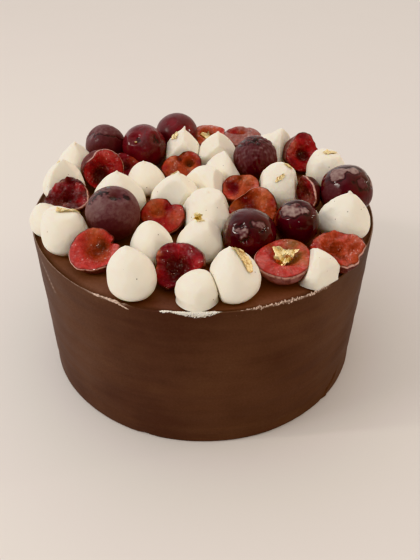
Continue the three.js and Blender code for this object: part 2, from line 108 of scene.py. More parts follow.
# Kisses, front to back. r: widest radius; peak: height; lean: how far right its tip leans; cone: 0
# for a dome, 1 for straight slopes; blunt: how flat the top is; foot: base as a share of the radius;
# nub: height of the tail that the nozzle leaves; flats: (way, depth) of sides that settled flat;
# pulls: (way, width in degrees, length) of points that the cream was drawn out to.
KISSES = [
    dict(x=-1.4, y=-70.5, r=8.7, peak=13, lean=0.3, cone=0, blunt=0.2, foot=0.98, nub=0,
         flats=[((238, 8), 0.35), ((292, 12), 0.4)]),
    dict(x=13, y=-66, r=10.5, peak=21.6, lean=-2.3, cone=0.8, nub=0.6,
         flats=[((326, 36), 1.2), ((200, 38), 0.7)]),
    dict(x=-27, y=-66, r=9.8, peak=21.6, lean=-1, cone=0.25, nub=1.0,
         flats=[((35, 48), 1.1), ((175, 42), 0.6)]),
    dict(x=46.8, y=-57, r=9.2, peak=13.6, lean=-2, cone=0.2, blunt=0.2, foot=0.97, nub=0,
         flats=[((309, 5), 3.2), ((309, 40), 1.0)]),
    dict(x=-21, y=-43, r=9.2, peak=18.2, lean=-0.2, cone=0.3, nub=0.8,
         flats=[((18, 44), 0.8)]),
    dict(x=-0.6, y=-41, r=10, peak=18.3, lean=1, cone=0.6, blunt=0.3, nub=0.3,
         flats=[((188, 38), 1.0), ((350, 36), 1.1), ((280, 70), 0.4)]),
    dict(x=-58.6, y=-35, r=10.5, peak=19.2, lean=-2.2, cone=0.1, blunt=0.6, nub=0.5,
         flats=[((40, 76), 1.1)], pulls=[((20, 36), 4, 0.7)]),
    dict(x=-68, y=-23, r=8.4, peak=14.6, lean=-3, cone=0.5, nub=0.3, flats=[((30, 52), 0.9)]),
    dict(x=63, y=-23, r=11.3, peak=20.9, lean=1.1, cone=1, nub=1.0,
         flats=[((212, 36), 1.0), ((322, 34), 1.0)], pulls=[((196, 42), 5, 1.0)]),
    dict(x=3, y=-18, r=12.8, peak=18.4, lean=-1, cone=0.85, blunt=0.8, nub=0.2,
         flats=[((230, 48), 0.7), ((328, 38), 1.0), ((280, 76), 0.5)]),
    dict(x=-39, y=-7, r=12, peak=21.9, lean=0, cone=0.9, nub=0.8,
         flats=[((190, 38), 0.9), ((340, 38), 0.9)]),
    dict(x=-12, y=-6, r=12.2, peak=20.9, lean=0.8, cone=0.95, nub=0.8,
         flats=[((2, 40), 2.0), ((222, 36), 0.8)]),
    dict(x=36.6, y=4, r=12.2, peak=20.8, lean=-0.8, cone=0.95, blunt=0.5, nub=0,
         flats=[((265, 60), 0.5), ((350, 34), 0.6)]),
    dict(x=2, y=6, r=12.2, peak=17.1, lean=-0.8, cone=0.6, blunt=0.5, nub=0.2,
         flats=[((262, 52), 0.9), ((350, 42), 0.6)]),
    dict(x=-67.5, y=8, r=9.8, peak=20.2, lean=1.6, cone=0.9, nub=0.5,
         flats=[((350, 40), 0.9)]),
    dict(x=-28, y=15, r=9.5, peak=15.6, lean=-1.2, cone=0.6, nub=0.9,
         flats=[((215, 40), 0.6)]),
    dict(x=61, y=21, r=10, peak=19, lean=-0.4, cone=0, blunt=0.6, nub=0.2,
         flats=[((70, 80), 0.8), ((250, 15), 0.7)]),
    dict(x=10.4, y=23, r=10.7, peak=17.4, lean=0, cone=1.1, nub=0.4,
         flats=[((226, 38), 1.6), ((318, 34), 1.2)]),
    dict(x=-65.3, y=29, r=9.4, peak=19, lean=1.0, cone=0.9, nub=0.6,
         flats=[((0, 38), 1.4)]),
    dict(x=7, y=39, r=10.4, peak=20, lean=0.3, cone=0.8, nub=0.7,
         flats=[((232, 34), 1.5), ((328, 34), 2.0)]),
    dict(x=-11, y=41, r=10.1, peak=20.9, lean=0.5, cone=0.95, nub=1.6,
         flats=[((225, 36), 1.2), ((318, 32), 0.9)]),
    dict(x=39, y=44, r=10.4, peak=20.2, lean=1.4, cone=1, nub=0.2,
         flats=[((210, 36), 0.7), ((338, 36), 1.0)]),
    dict(x=33, y=54, r=9, peak=12.6, lean=5.5, cone=0.6, nub=0, flats=[((250, 50), 1.2)]),
]

# Whole cherries. tall: height as a share of the width; stem: way that the dimple faces; frost: how
# frosted the skin is, rime above 1; red: how much wine shows in the skin; wrinkle: depth of its
# creases; grain: how uneven its frost is; spots: (way, width in degrees, frost there, width of the
# thawed line round it); dents: (way, width in degrees, depth as a share of r) of hollows with a
# raised edge; shades: (way, width in degrees, whether it is ferny) of dark places: wet thawed skin,
# and painted shade in the dents and the stem's dimple.
CHERRIES = [
    dict(x=-52, y=46, r=10.3, tall=0.98, stem=(200, 40), frost=0.55, red=0.2, wrinkle=0.15, grain=0.15,
         spots=[((75, 57), 66, 0.95, 3)]),
    dict(x=-31, y=41, r=11.4, tall=0.98, stem=(250, 60), frost=0.25, red=0.7, wrinkle=0.04, grain=0.3,
         spots=[((276, 70), 11, 0.8, 0), ((274, 52), 10, 0.85, 0), ((272, 34), 9, 0.75, 0),
                ((90, 45), 34, 0.7, 0), ((244, 46), 14, 0.0, 0), ((313, 42), 15, 0.0, 0)],
         dents=[((242, 47), 13, 0.09), ((313, 42), 12, 0.07)],
         # Both shades are painted shade in the dents.
         shades=[((246, 48), 9, False), ((318, 42), 9, True)]),
    dict(x=-15, y=57, r=11.3, tall=0.97, stem=(60, 20), frost=0.45, red=0.75, wrinkle=0.08, grain=0.2,
         spots=[((300, 20), 28, 0.05, 0), ((250, 60), 16, 0.1, 0)]),
    dict(x=-39, y=-26, r=12, tall=0.98, stem=(318, 72), frost=1.05, red=0.0, wrinkle=0.0, grain=0.06,
         spots=[((200, 40), 40, 1.3, 0), ((270, 74), 20, 1.25, 0), ((270, -25), 45, 0.8, 0)],
         dents=[((322, 68), 15, 0.06)],
         # The last three shades are painted shade in the dent by the stem; the ferny ones are thawed skin.
         shades=[((175, 68), 23, True), ((196, 46), 10, True), ((308, 70), 8, False),
                 ((328, 64), 8, False), ((342, 57), 7, False)]),
    dict(x=26, y=28, r=11.2, tall=1, stem=(80, 20), frost=0.75, red=0.1, wrinkle=0.5, grain=0.7,
         spots=[((280, -10), 32, 0.2, 0)], dents=[((262, 34), 5, 0.03)],
         shades=[((268, 84), 24, True), ((190, 52), 13, True)]),
    dict(x=20, y=-39, r=11.4, tall=0.92, stem=(180, 15), frost=0.03, red=0.1, wrinkle=0.08, grain=0.6,
         spots=[((250, 34), 11, 1.5, 1.5), ((236, 40), 9, 1.6, 1.5), ((288, 54), 8, 1.3, 1.5),
                ((303, 46), 7, 1.4, 1.5), ((80, 50), 24, 0.5, 0)],
         dents=[((264, 20), 8, 0.05), ((236, 44), 10, 0.04), ((298, 38), 5, 0.05)]),
    dict(x=41, y=-30, r=9.8, tall=1.02, stem=(280, 84), frost=0.02, red=0.1, wrinkle=0.04, grain=0.5,
         spots=[((240, 70), 24, 2.1, 1.5), ((205, 58), 17, 2.1, 1.5), ((290, 66), 16, 2.1, 1.5),
                ((340, 44), 8, 0.9, 0)],
         dents=[((222, 46), 9, 0.045), ((300, 32), 6, 0.03)],
         # The first shade is painted shade in the stem's dimple.
         shades=[((280, 84), 4, False), ((290, 52), 6, True)]),
    dict(x=66, y=-5, r=12.2, tall=0.97, stem=(20, 10), frost=0.06, red=0.12, wrinkle=0.05, grain=0.3,
         spots=[((225, 8), 28, 0.65, 0), ((338, 4), 26, 0.65, 0), ((307, 41), 12, 0.9, 2),
                ((203, 61), 18, 1.9, 4.5), ((315, 79), 12, 2.3, 3), ((350, 33), 10, 2.0, 4)],
         dents=[((240, 55), 9, 0.03)]),
]

# Cherry halves. face: way that the cut looks; lift: how far it is held off the cake; cleft: depth
# and place of the notch in its skin; ragged: how torn it is; outline: (turn, radius) of the cut's
# rim, turn 0 being its lowest point and 90 its right; bowl: down, right, length down, width and
# depth of the hollow; bumps: (turn, distance, size, height in mm) on the cut; flesh: colours of the
# ring and the hollow; patches: (turn, distance, size, colour); rim: (middle, half width, strength)
# of the arc where the cut skin shows pale; lumps: torn relief in mm; tuck: how far the skin below
# follows the rim. Radii are shares of r.
HALVES = [
    dict(x=-9, y=-60, r=10.9, face=(240, 47), cleft=(0.08, 180), ragged=0.04, frost=0.1,
         outline=[(1, 1.05), (40, 1.0), (80, 1.03), (112, 1.06), (124, 1.02), (146, 0.88),
                  (175, 0.81), (205, 0.8), (235, 0.96), (260, 1.02), (275, 0.96), (291, 0.88),
                  (303, 0.96), (325, 1.06)],
         bowl=(0.2, -0.06, 0.72, 0.66, 0.34), lumps=0.45, flesh=("wine", "maroon"),
         bumps=[(290, 0.85, 0.16, 0.7), (262, 0.82, 0.16, 0.6), (315, 0.9, 0.16, 0.6), (200, 0.5, 0.3, 0.7)],
         patches=[(195, 0.62, 0.3, "crimson"), (280, 0.88, 0.1, "orange"), (315, 0.86, 0.2, "crimson"),
                  (108, 0.78, 0.3, "crimson"), (262, 0.88, 0.1, "amber"), (300, 0.88, 0.1, "orange"),
                  (90, 0.85, 0.2, "crimson")],
         rim=(150, 40, 0.35)),
    dict(x=33, y=-56, r=11.2, face=(270, 80), cleft=(0.04, 190), ragged=0.02, frost=1.0,
         outline=[(0, 0.93), (30, 0.92), (60, 0.97), (107, 1.1), (142, 1.14), (180, 1.06), (210, 1.02),
                  (236, 1.0), (269, 1.07), (310, 1.0), (335, 0.94)],
         bowl=(-0.2, 0.08, 0.5, 0.56, 0.34), lumps=0.12, flesh=("rose", "brown"),
         patches=[(150, 0.8, 0.4, "olive"), (80, 0.62, 0.3, "amber"), (112, 0.55, 0.26, "olive"),
                  (215, 0.8, 0.2, "rust"), (0, 0.7, 0.22, "rose"), (280, 0.85, 0.25, "pink")],
         rim=(355, 112, 0.65)),
    dict(x=-44, y=-50, r=10.8, face=(260, 52), cleft=(0.25, 128), ragged=0.05, frost=0.45,
         outline=[(1, 0.86), (30, 0.84), (65, 0.93), (95, 1.02), (108, 0.98), (117, 0.7), (126, 0.86),
                  (145, 0.84), (162, 0.84), (191, 0.88), (224, 0.88), (260, 0.9), (288, 0.98),
                  (309, 1.03), (338, 0.95)],
         bowl=(-0.05, 0.1, 0.72, 0.66, 0.42), lumps=0.2, flesh=("rose", "rust"),
         bumps=[(95, 0.85, 0.16, 0.5)],
         patches=[(185, 0.75, 0.26, "amber"), (205, 0.5, 0.28, "orange"), (90, 0.85, 0.24, "pink"),
                  (150, 0.3, 0.22, "brown"), (250, 0.75, 0.3, "rose"), (60, 0.4, 0.2, "orange"),
                  (340, 0.85, 0.25, "rose")],
         rim=(340, 62, 1.0)),
    dict(x=56, y=-49, r=11, face=(250, 68), cleft=(0.14, 175), ragged=0.11, frost=0.35,
         outline=[(0, 0.92), (22, 0.9), (53, 0.9), (76, 0.88), (107, 0.94), (126, 1.06), (142, 1.04),
                  (158, 0.88), (177, 0.8), (200, 0.84), (225, 0.9), (245, 1.02), (282, 1.04),
                  (320, 0.96)], tuck=0.9,
         bowl=(-0.08, -0.2, 0.5, 0.5, 0.34), lumps=1.0, flesh=("salmon", "rust"),
         bumps=[(165, 0.5, 0.16, 1.8), (118, 0.65, 0.22, 1.5), (140, 0.5, 0.12, -1.5),
                (200, 0.75, 0.14, 1.0), (175, 0.75, 0.14, 0.8)],
         patches=[(5, 0.6, 0.3, "rose"), (330, 0.8, 0.25, "crimson"), (75, 0.75, 0.26, "orange"),
                  (175, 0.62, 0.2, "pink"), (280, 0.85, 0.25, "crimson"), (110, 0.55, 0.2, "rust"),
                  (20, 0.3, 0.2, "brown")],
         rim=(62, 52, 1.0)),
    dict(x=-17, y=-22, r=10.3, face=(275, 55), cleft=(0.28, 160), ragged=0.03, frost=0.1,
         outline=[(23, 0.92), (53, 0.9), (72, 0.92), (94, 0.92), (117, 0.86), (132, 0.66),
                  (141, 0.54), (152, 0.6), (170, 0.72), (186, 0.76), (220, 0.9), (245, 0.97),
                  (268, 1.05), (300, 1.0)],
         bowl=(-0.14, -0.22, 0.42, 0.44, 0.24), lumps=0.3, flesh=("crimson", "orange"),
         bumps=[(95, 0.55, 0.3, 0.9), (270, 0.7, 0.2, 0.5), (148, 0.4, 0.16, -1.2)],
         patches=[(220, 0.66, 0.36, "amber"), (195, 0.6, 0.2, "salmon"), (265, 0.5, 0.2, "rust"),
                  (70, 0.55, 0.4, "salmon"), (285, 0.85, 0.24, "rust"), (20, 0.8, 0.2, "rose"),
                  (145, 0.35, 0.2, "wine")],
         rim=(20, 30, 0.4)),
    dict(x=22, y=-17, r=11.8, face=(255, 42), cleft=(0.06, 210), ragged=0.04, frost=0.1, tuck=0.9,
         outline=[(0, 1.0), (60, 1.03), (86, 1.02), (102, 0.97), (133, 0.88), (154, 0.82),
                  (175, 0.72), (200, 0.58), (225, 0.52), (250, 0.6), (273, 0.78), (295, 0.97)],
         bowl=(0.1, -0.12, 0.7, 0.56, 0.34), lumps=0.4, flesh=("orange", "wine"),
         bumps=[(120, 0.55, 0.3, 0.9), (270, 0.6, 0.14, 0.5)],
         patches=[(130, 0.55, 0.34, "amber"), (160, 0.62, 0.16, "orange"), (105, 0.85, 0.2, "crimson"),
                  (205, 0.45, 0.2, "rust"), (285, 0.55, 0.36, "amber"), (300, 0.85, 0.2, "crimson"),
                  (240, 0.4, 0.2, "wine")],
         rim=(215, 50, 0.95)),
    dict(x=-62, y=-8, r=11.2, face=(222, 70), lift=1, cleft=(0.12, 200), ragged=0.08, frost=0.35, tuck=0.6,
         outline=[(30, 0.95), (97, 1.1), (120, 0.95), (145, 0.82), (170, 0.78), (190, 0.86),
                  (212, 0.96), (233, 1.06), (252, 1.06), (269, 0.96), (287, 1.08), (315, 1.02)],
         bowl=(0.2, 0.1, 0.5, 0.45, 0.26), lumps=0.9, flesh=("maroon", "maroon"),
         bumps=[(150, 0.5, 0.28, 2.2), (262, 0.6, 0.28, 2.2), (205, 0.55, 0.14, -1.6)],
         patches=[(150, 0.6, 0.26, "crimson"), (275, 0.75, 0.26, "crimson"), (20, 0.55, 0.2, "dusty"),
                  (100, 0.85, 0.2, "crimson"), (240, 0.5, 0.24, "wine")],
         rim=(118, 42, 0.9)),
    dict(x=48, y=-3, r=9.6, face=(195, 15), cleft=(0.12, 90), ragged=0.06, frost=0.15, tuck=0.9,
         outline=[(0, 0.6), (40, 0.7), (85, 1.1), (100, 1.1), (119, 1.0), (150, 0.74), (177, 0.62),
                  (210, 0.74), (237, 0.94), (272, 1.08), (299, 0.86), (330, 0.68)],
         bowl=(0.0, 0.1, 0.35, 0.7, 0.22), lumps=0.5, flesh=("wine", "maroon"),
         patches=[(90, 0.5, 0.34, "dusty"), (180, 0.5, 0.2, "crimson"), (270, 0.6, 0.3, "dusty"),
                  (0, 0.2, 0.2, "dusty")],
         rim=(90, 180, 0.85)),
    dict(x=19, y=3, r=10, face=(265, 62), cleft=(0.14, 190), ragged=0.06, frost=0.2,
         outline=[(0, 0.95), (60, 0.9), (94, 0.84), (137, 0.82), (165, 0.78), (190, 0.74),
                  (221, 0.84), (239, 0.94), (284, 1.02)],
         bowl=(0.0, -0.42, 0.56, 0.42, 0.32), lumps=0.45, flesh=("orange", "wine"),
         bumps=[(140, 0.45, 0.26, 1.5), (100, 0.6, 0.2, 0.8), (165, 0.2, 0.12, 0.6)],
         patches=[(150, 0.5, 0.24, "amber"), (255, 0.72, 0.24, "wine"), (300, 0.8, 0.3, "rose"),
                  (200, 0.62, 0.18, "brown"), (95, 0.75, 0.26, "pink"), (160, 0.3, 0.16, "amber"),
                  (40, 0.5, 0.25, "rust")],
         rim=(236, 22, 0.9)),
    dict(x=-50, y=17, r=11, face=(300, 30), cleft=(0.04, 0), ragged=0.02, frost=0.4,
         outline=[(0, 0.95), (40, 1.0), (76, 1.03), (105, 1.03), (131, 0.98), (160, 0.9),
                  (182, 0.8), (200, 0.66), (215, 0.66), (240, 0.78), (270, 0.9), (310, 0.95)],
         bowl=(0.26, -0.1, 0.74, 0.62, 0.36), lumps=0.25, flesh=("crimson", "maroon"),
         patches=[(150, 0.7, 0.3, "rose"), (95, 0.8, 0.25, "crimson"), (230, 0.5, 0.2, "wine")],
         rim=(142, 84, 1.0)),
    dict(x=-11, y=25, r=10.4, face=(270, 60), cleft=(0.28, 180), ragged=0.04, frost=0.1,
         outline=[(0, 0.9), (50, 0.93), (84, 0.96), (103, 0.98), (130, 0.99), (153, 0.9),
                  (176, 0.72), (190, 0.56), (198, 0.52), (207, 0.58), (220, 0.7), (256, 0.87),
                  (282, 1.02), (330, 0.95)],
         bowl=(-0.12, 0.4, 0.34, 0.3, 0.3), lumps=0.4, flesh=("rust", "brown"),
         bumps=[(260, 0.45, 0.26, 1.2), (198, 0.3, 0.14, -1.2), (130, 0.86, 0.12, 0.5)],
         patches=[(262, 0.5, 0.26, "orange"), (285, 0.85, 0.18, "crimson"), (135, 0.84, 0.18, "crimson"),
                  (100, 0.85, 0.16, "wine"), (70, 0.45, 0.16, "amber"), (235, 0.6, 0.16, "amber"),
                  (198, 0.35, 0.14, "maroon")]),
    dict(x=-40, y=27, r=8.8, face=(280, 62), cleft=(0.1, 0), ragged=0.06, frost=0.1,
         outline=[(0, 0.95), (90, 1.0), (150, 0.9), (200, 0.92), (280, 1.0)],
         bowl=(0.0, 0.0, 0.5, 0.5, 0.32), lumps=0.4, flesh=("wine", "maroon"),
         patches=[(120, 0.7, 0.3, "rust")]),
    dict(x=51, y=37, r=10.6, face=(290, 38), cleft=(0.06, 0), ragged=0.06, frost=0.5,
         outline=[(9, 0.96), (81, 0.94), (105, 0.88), (122, 0.88), (140, 0.98), (160, 1.06),
                  (180, 0.96), (200, 0.84), (240, 0.8), (266, 0.92), (310, 0.97)],
         bowl=(0.1, 0.02, 0.5, 0.48, 0.36), lumps=0.35, flesh=("crimson", "maroon"),
         bumps=[(225, 0.6, 0.2, 0.7), (120, 0.8, 0.14, 0.5)],
         patches=[(222, 0.62, 0.18, "salmon"), (250, 0.66, 0.16, "pink"), (165, 0.85, 0.26, "wine"),
                  (100, 0.7, 0.25, "crimson"), (300, 0.75, 0.2, "wine")],
         rim=(235, 45, 0.35)),
    dict(x=20, y=59, r=10.9, face=(270, 84), cleft=(0.05, 0), ragged=0.04, frost=0.5,
         outline=[(0, 0.95), (60, 1.0), (96, 1.06), (120, 0.98), (141, 0.96), (181, 0.86),
                  (236, 0.88), (290, 0.98)],
         bowl=(-0.34, -0.12, 0.3, 0.5, 0.16), lumps=0.3, flesh=("dusty", "rust"),
         bumps=[(180, 0.75, 0.3, 0.5)],
         patches=[(215, 0.55, 0.25, "crimson"), (0, 0.5, 0.4, "dusty"), (130, 0.8, 0.2, "dusty"),
                  (240, 0.85, 0.15, "wine")]),
    dict(x=2, y=61, r=10.5, face=(270, 80), cleft=(0.1, 200), ragged=0.05, frost=0.3,
         outline=[(0, 0.95), (90, 1.0), (150, 0.95), (200, 0.88), (240, 0.95), (300, 1.0)],
         bowl=(0.0, 0.0, 0.4, 0.45, 0.3), lumps=0.35, flesh=("orange", "rust"),
         patches=[(110, 0.8, 0.25, "rose"), (250, 0.8, 0.25, "crimson")]),
]

# Marks along the raised edge. knots: (degrees round, middle, half width, height) in mm; the middle
# is measured from the crest, inwards over the top if positive and down the wall if negative.
# grain: size of its lumps in mm; broken: how much of it is missing between them; worn: how pale.
RIM_MARKS = [
    dict(name="cream_smear", grain=0.4, broken=0.45, wear_and_highlight=0,
         knots=[(-101.6, 0.2, 0.4, 0.0), (-100.4, 0.1, 1.3, 0.4), (-98.5, 0.4, 0.9, 0.3),
                (-96, 0.1, 1.5, 0.35), (-93, -0.2, 2.4, 0.4), (-89, -0.3, 2.9, 0.45),
                (-87, 0.0, 1.9, 0.4), (-85.4, 0.3, 1.1, 0.35), (-84, 0.4, 0.4, 0.0)]),
    dict(name="torn_flake", grain=0.9, broken=0.15, wear_and_highlight=2.2,
         knots=[(-122.5, 0.0, 0.3, 0.1), (-121.5, 0.1, 0.5, 0.35), (-120.2, -0.2, 0.6, 0.5),
                (-119.2, 0.2, 0.4, 0.3), (-116.5, 0.0, 0.6, 0.55), (-114, -0.3, 0.8, 0.6),
                (-112.6, -1.1, 0.5, 0.5), (-111.2, -2.0, 0.35, 0.3), (-110.4, -2.3, 0.2, 0.0)]),
    dict(name="dragged_crumbs", grain=0.38, broken=1.0, wear_and_highlight=4,
         knots=[(-80, 0.1, 0.2, 0.0), (-76, 0.0, 0.5, 0.5), (-73, -0.1, 1.3, 1.0), (-71.4, 0.0, 0.6, 0.6),
                (-68, 0.1, 1.2, 0.9), (-64, 0.1, 1.4, 1.0), (-61, 0.2, 1.2, 1.0), (-59.3, 0.1, 0.5, 0.5),
                (-57, 0.0, 1.1, 1.1), (-55, 0.1, 0.6, 0.5), (-51.5, 0.3, 1.4, 1.1), (-49.5, 0.3, 0.4, 0.0)]),
]

# Gold leaf. on: the topping under it; at: way to it from that topping's heart; size: length and
# width; turn: degrees about that way; stands: how far it is off the topping; faces: way that it
# looks, where it stands up; corners: its outline as (right, up), where it isn't simply torn.
CAD_SCRAPS = 9  # the first nine are in the CAD too, and the rest are flecks too small for it
LEAVES = [
    dict(on="half_02", at=(20, 82), size=(11, 9.5), turn=0, stands=3.9, faces=(266, 45),
         corners=[(-5.6, 3.5), (-2.5, 3.4), (0.1, 2.2), (2.2, 2.6), (5.2, 2.5), (3.4, 0.0), (2.4, -2.0),
                  (0.6, -3.2), (-1.4, -6.4), (-2.8, -5.8), (-4.1, -2.9), (-4.6, 0.4)]),
    dict(on="kiss_07", at=(50, 74), size=(10, 5.5), turn=26, stands=0.1,
         corners=[(-5.0, -1.4), (-3.4, -1.9), (-1.2, -1.6), (1.6, -1.2), (5.4, -0.5), (5.6, 0.4),
                  (2.4, 0.9), (-0.6, 1.5), (-3.2, 2.2), (-4.6, 1.4)]),
    dict(on="kiss_02", at=(350, 68), size=(10.4, 5.6), turn=336, stands=0.0,
         corners=[(-5.4, -1.3), (-3.0, -2.4), (0.0, -2.0), (3.0, -2.6), (5.2, -2.0), (5.4, 0.8),
                  (3.0, 2.4), (0.0, 2.6), (-3.0, 3.0), (-5.2, 2.2)]),
    dict(on="kiss_06", at=(130, 82), size=(4.6, 4.6), turn=0, stands=0.9, faces=(270, 35),
         corners=[(-2.0, 1.4), (-0.4, 2.0), (0.9, 1.5), (2.1, 1.0), (1.4, 0.0), (2.6, -1.2), (3.4, -2.2),
                  (1.6, -1.6), (-0.4, -2.0), (-0.9, -1.2), (-1.9, -0.6), (-1.3, 0.3)]),
    dict(on="kiss_17", at=(290, 86), size=(9, 4.6), turn=10, stands=0.1),
    dict(on="kiss_13", at=(350, 74), size=(5.5, 2.4), turn=345, stands=0.1),
    dict(on="kiss_13", at=(262, 50), size=(6.5, 2.6), turn=30, stands=0.0),
    dict(on="kiss_21", at=(190, 66), size=(5, 4.5), turn=0, stands=0.2),
    dict(on="half_15", at=(165, 70), size=(5.6, 3.6), turn=20, stands=0.4),
    dict(on="kiss_12", at=(149, 84), size=(4.5, 1.0), turn=10, stands=0.0),
    dict(on="kiss_15", at=(187, 85), size=(1.8, 1.2), turn=10, stands=0.0),
    dict(on="cherry_02", at=(249, 36), size=(1.2, 0.9), turn=0, stands=0.0),
]

# ------------------------------------------------------------------ stage, in metres and degrees

FLOOR_REACH = 1.5
FLOOR_LINES = 9
LAMP_AIM = Vector((0.0, 0.0, 0.06))  # in the cake's upper half
LAMP_WHITE, ROOM_WHITE, ROOM_WARM = "#FFF6EC", "#FDF9F6", "#F7E3D0"
CAMERA_LENS, CAMERA_SENSOR = 40.02, 36  # mm
CAMERA_PLACE = (0.003504, -0.258272, 0.234093)
CAMERA_PITCH, CAMERA_ROLL = 52.07, 0.2532

# ------------------------------------------------------------------ colours


def linear(code):
    """Linear red, green and blue of an sRGB hex colour."""
    shares = [int(code[i : i + 2], 16) / 255 for i in (1, 3, 5)]
    return tuple(s / 12.92 if s <= 0.04045 else ((s + 0.055) / 1.055) ** 2.4 for s in shares)


def colour_setting(name, description, code):
    """A colour that the user can change, with its default as an sRGB hex value."""
    return bpy.props.FloatVectorProperty(
        name=name, description=description, default=linear(code),
        subtype="COLOR", size=3, min=0.0, max=1.0,
    )


class CakeColours(bpy.types.PropertyGroup):
    """Colours of the cake's finishes."""

    chocolate: colour_setting("Chocolate", "Scraped coat of the wall", "#513A34")
    chocolate_cloud: colour_setting("Chocolate cloud", "Paler smears in the coat", "#634A40")
    # This colour also stands for the painted highlight along the crest of the raised edge.
    chocolate_bloom_and_highlight: colour_setting("Chocolate bloom", "Worn edges and scrapes", "#DEC6B6")
    cream: colour_setting("Cream", "Piped vanilla cream", "#FCF5E6")
    vanilla: colour_setting("Vanilla", "Specks of vanilla seed", "#6E5238")
    cherry: colour_setting("Cherry skin", "Thawed dark skin", "#3A0B13")
    cherry_wine: colour_setting("Cherry wine", "Redder skin that light passes into", "#681A22")
    cherry_frost: colour_setting("Cherry frost", "Skin dulled by frost", "#66464A")
    rime: colour_setting("Rime", "Thick grey rime on a skin", "#A08A84")
    skin_frost: colour_setting("Skin frost", "Frost on the skin of a half", "#A87C7A")
    # Painted highlight: bright specks that stand for light glinting off the wet flesh.
    glint_highlight: colour_setting("Ice grain", "Grains of ice on the cut flesh", "#F0D0C2")
    pale_rim: colour_setting("Skin edge", "Thin pale edge of a cut skin", "#E0B0A4")
    gold: colour_setting("Gold", "Edible gold leaf", "#F8E4B0")
    gold_fold: colour_setting("Gold in folds", "Leaf seen in a fold", "#B07A3C")
    floor: colour_setting("Floor", "Studio paper under the cake", "#E5E1DD")


# Colours of cut cherry flesh, from the skin's side to the stone's.
FLESH = {
    "maroon": "#542426", "wine": "#783036", "crimson": "#9A3438", "rose": "#BA4E4C",
    "pink": "#C66C66", "salmon": "#B85C4C", "dusty": "#96605A", "rust": "#944232",
    "orange": "#B65C48", "amber": "#BA6C50", "olive": "#8C6444", "brown": "#6A3626",
}


class CakeSizes(bpy.types.PropertyGroup):
    """Sizes that the finishes are drawn to."""

    smear_length: bpy.props.FloatProperty(
        name="Smear length", description="Length of a scraper smear in the coat",
        default=0.045, min=0.005, max=0.2, unit="LENGTH", subtype="DISTANCE",
    )
    speck_spacing: bpy.props.FloatProperty(
        name="Speck spacing", description="Distance between vanilla specks in the cream",
        default=0.0016, min=0.001, max=0.02, unit="LENGTH", subtype="DISTANCE",
    )
    leaf_thickness: bpy.props.FloatProperty(
        name="Leaf thickness", description="Thickness of a crumpled scrap of gold leaf",
        default=0.00008, min=0.00002, max=0.001, unit="LENGTH", subtype="DISTANCE",
    )


class CakeSettings(bpy.types.PropertyGroup):
    """Everything about the cake that a user would change."""

    colours: bpy.props.PointerProperty(type=CakeColours, name="Colours", description="Colours")
    sizes: bpy.props.PointerProperty(type=CakeSizes, name="Sizes", description="Sizes")


# ------------------------------------------------------------------ numbers and vectors


def mulberry(seed):
    """The small random generator that the part's source uses, so both draw the same numbers."""
    state = seed

    def draw():
        nonlocal state
        state = (state + 0x6D2B79F5) & 0xFFFFFFFF
        mixed = ((state ^ (state >> 15)) * (1 | state)) & 0xFFFFFFFF
        mixed = (mixed + (mixed ^ (mixed >> 7)) * (61 | mixed)) & 0xFFFFFFFF ^ mixed
        return ((mixed ^ (mixed >> 14)) & 0xFFFFFFFF) / 4294967296

    return draw


def heading(way):
    """Unit vector that lies way[0] degrees round from +X and way[1] degrees above level."""
    around, up = math.radians(way[0]), math.radians(way[1])
    return np.array([math.cos(up) * math.cos(around), math.cos(up) * math.sin(around), math.sin(up)])


def smoothstep(low, high, value):
    """0 on the low side, 1 on the high side, and a smooth step between them."""
    share = np.clip((value - low) / (high - low), 0, 1)
    return share * share * (3 - 2 * share)


def bell(distance, width):
    """1 in the middle of a bump, and falling smoothly away over its width."""
    return np.exp(-((distance / width) ** 2))


def degrees_from(way, unit):
    """Degrees between a way and each unit vector."""
    return np.degrees(np.arccos(np.clip(unit @ heading(way), -1, 1)))


def from_place(x, y, turn, distance, size):
    """How far points are from a place on a cut face, in its own sizes."""
    at = math.radians(turn)
    return np.hypot(x - distance * math.cos(at), y - distance * math.sin(at)) / size


def ripple(points, size, seed, waves=14):
    """A smooth random height, about -1 to 1, whose lumps are `size` mm across."""
    random = np.random.default_rng(seed)
    height = np.zeros(len(points))
    for _ in range(waves):
        way = random.normal(size=3)
        way *= TAU / (2 * size) * random.uniform(0.6, 1.4) / np.linalg.norm(way)
        height += np.sin(points @ way + random.uniform(0, TAU))
    return height / math.sqrt(waves) / 1.3


def flowing(points, steps):
    """Points along a smooth curve through the given ones, with so many steps to each stretch."""
    points = np.array(points, float)
    padded = np.vstack([points[:1], points, points[-1:]])
    stretches = []
    for i, count in enumerate(steps):
        a, b, c, d = padded[i : i + 4]
        t = np.linspace(0, 1, count, endpoint=False)[:, None]
        bend = (c - a) * t + (2 * a - 5 * b + 4 * c - d) * t**2 + (3 * b - a - 3 * c + d) * t**3
        stretches.append(b + 0.5 * bend)
    return np.vstack([*stretches, points[-1:]])


def quads(index):
    """Four-sided faces between neighbours in a grid of point numbers."""
    corners = [index[:-1, :-1], index[1:, :-1], index[1:, 1:], index[:-1, 1:]]
    return np.stack(corners, -1).reshape(-1, 4).tolist()


def ring_numbers(rings, segments):
    """Numbers of the points on closed rings that follow one middle point."""
    index = 1 + np.arange(rings * segments).reshape(rings, segments)
    return np.hstack([index, index[:, :1]])


def with_underside(skin, loop, count):
    """Faces of a thin solid whose underside's points come `count` after those of its skin."""
    under = [tuple(count + corner for corner in face[::-1]) for face in skin]
    band = [(b, a, count + a, count + b) for a, b in zip(loop, loop[1:] + loop[:1])]
    return skin + under + band


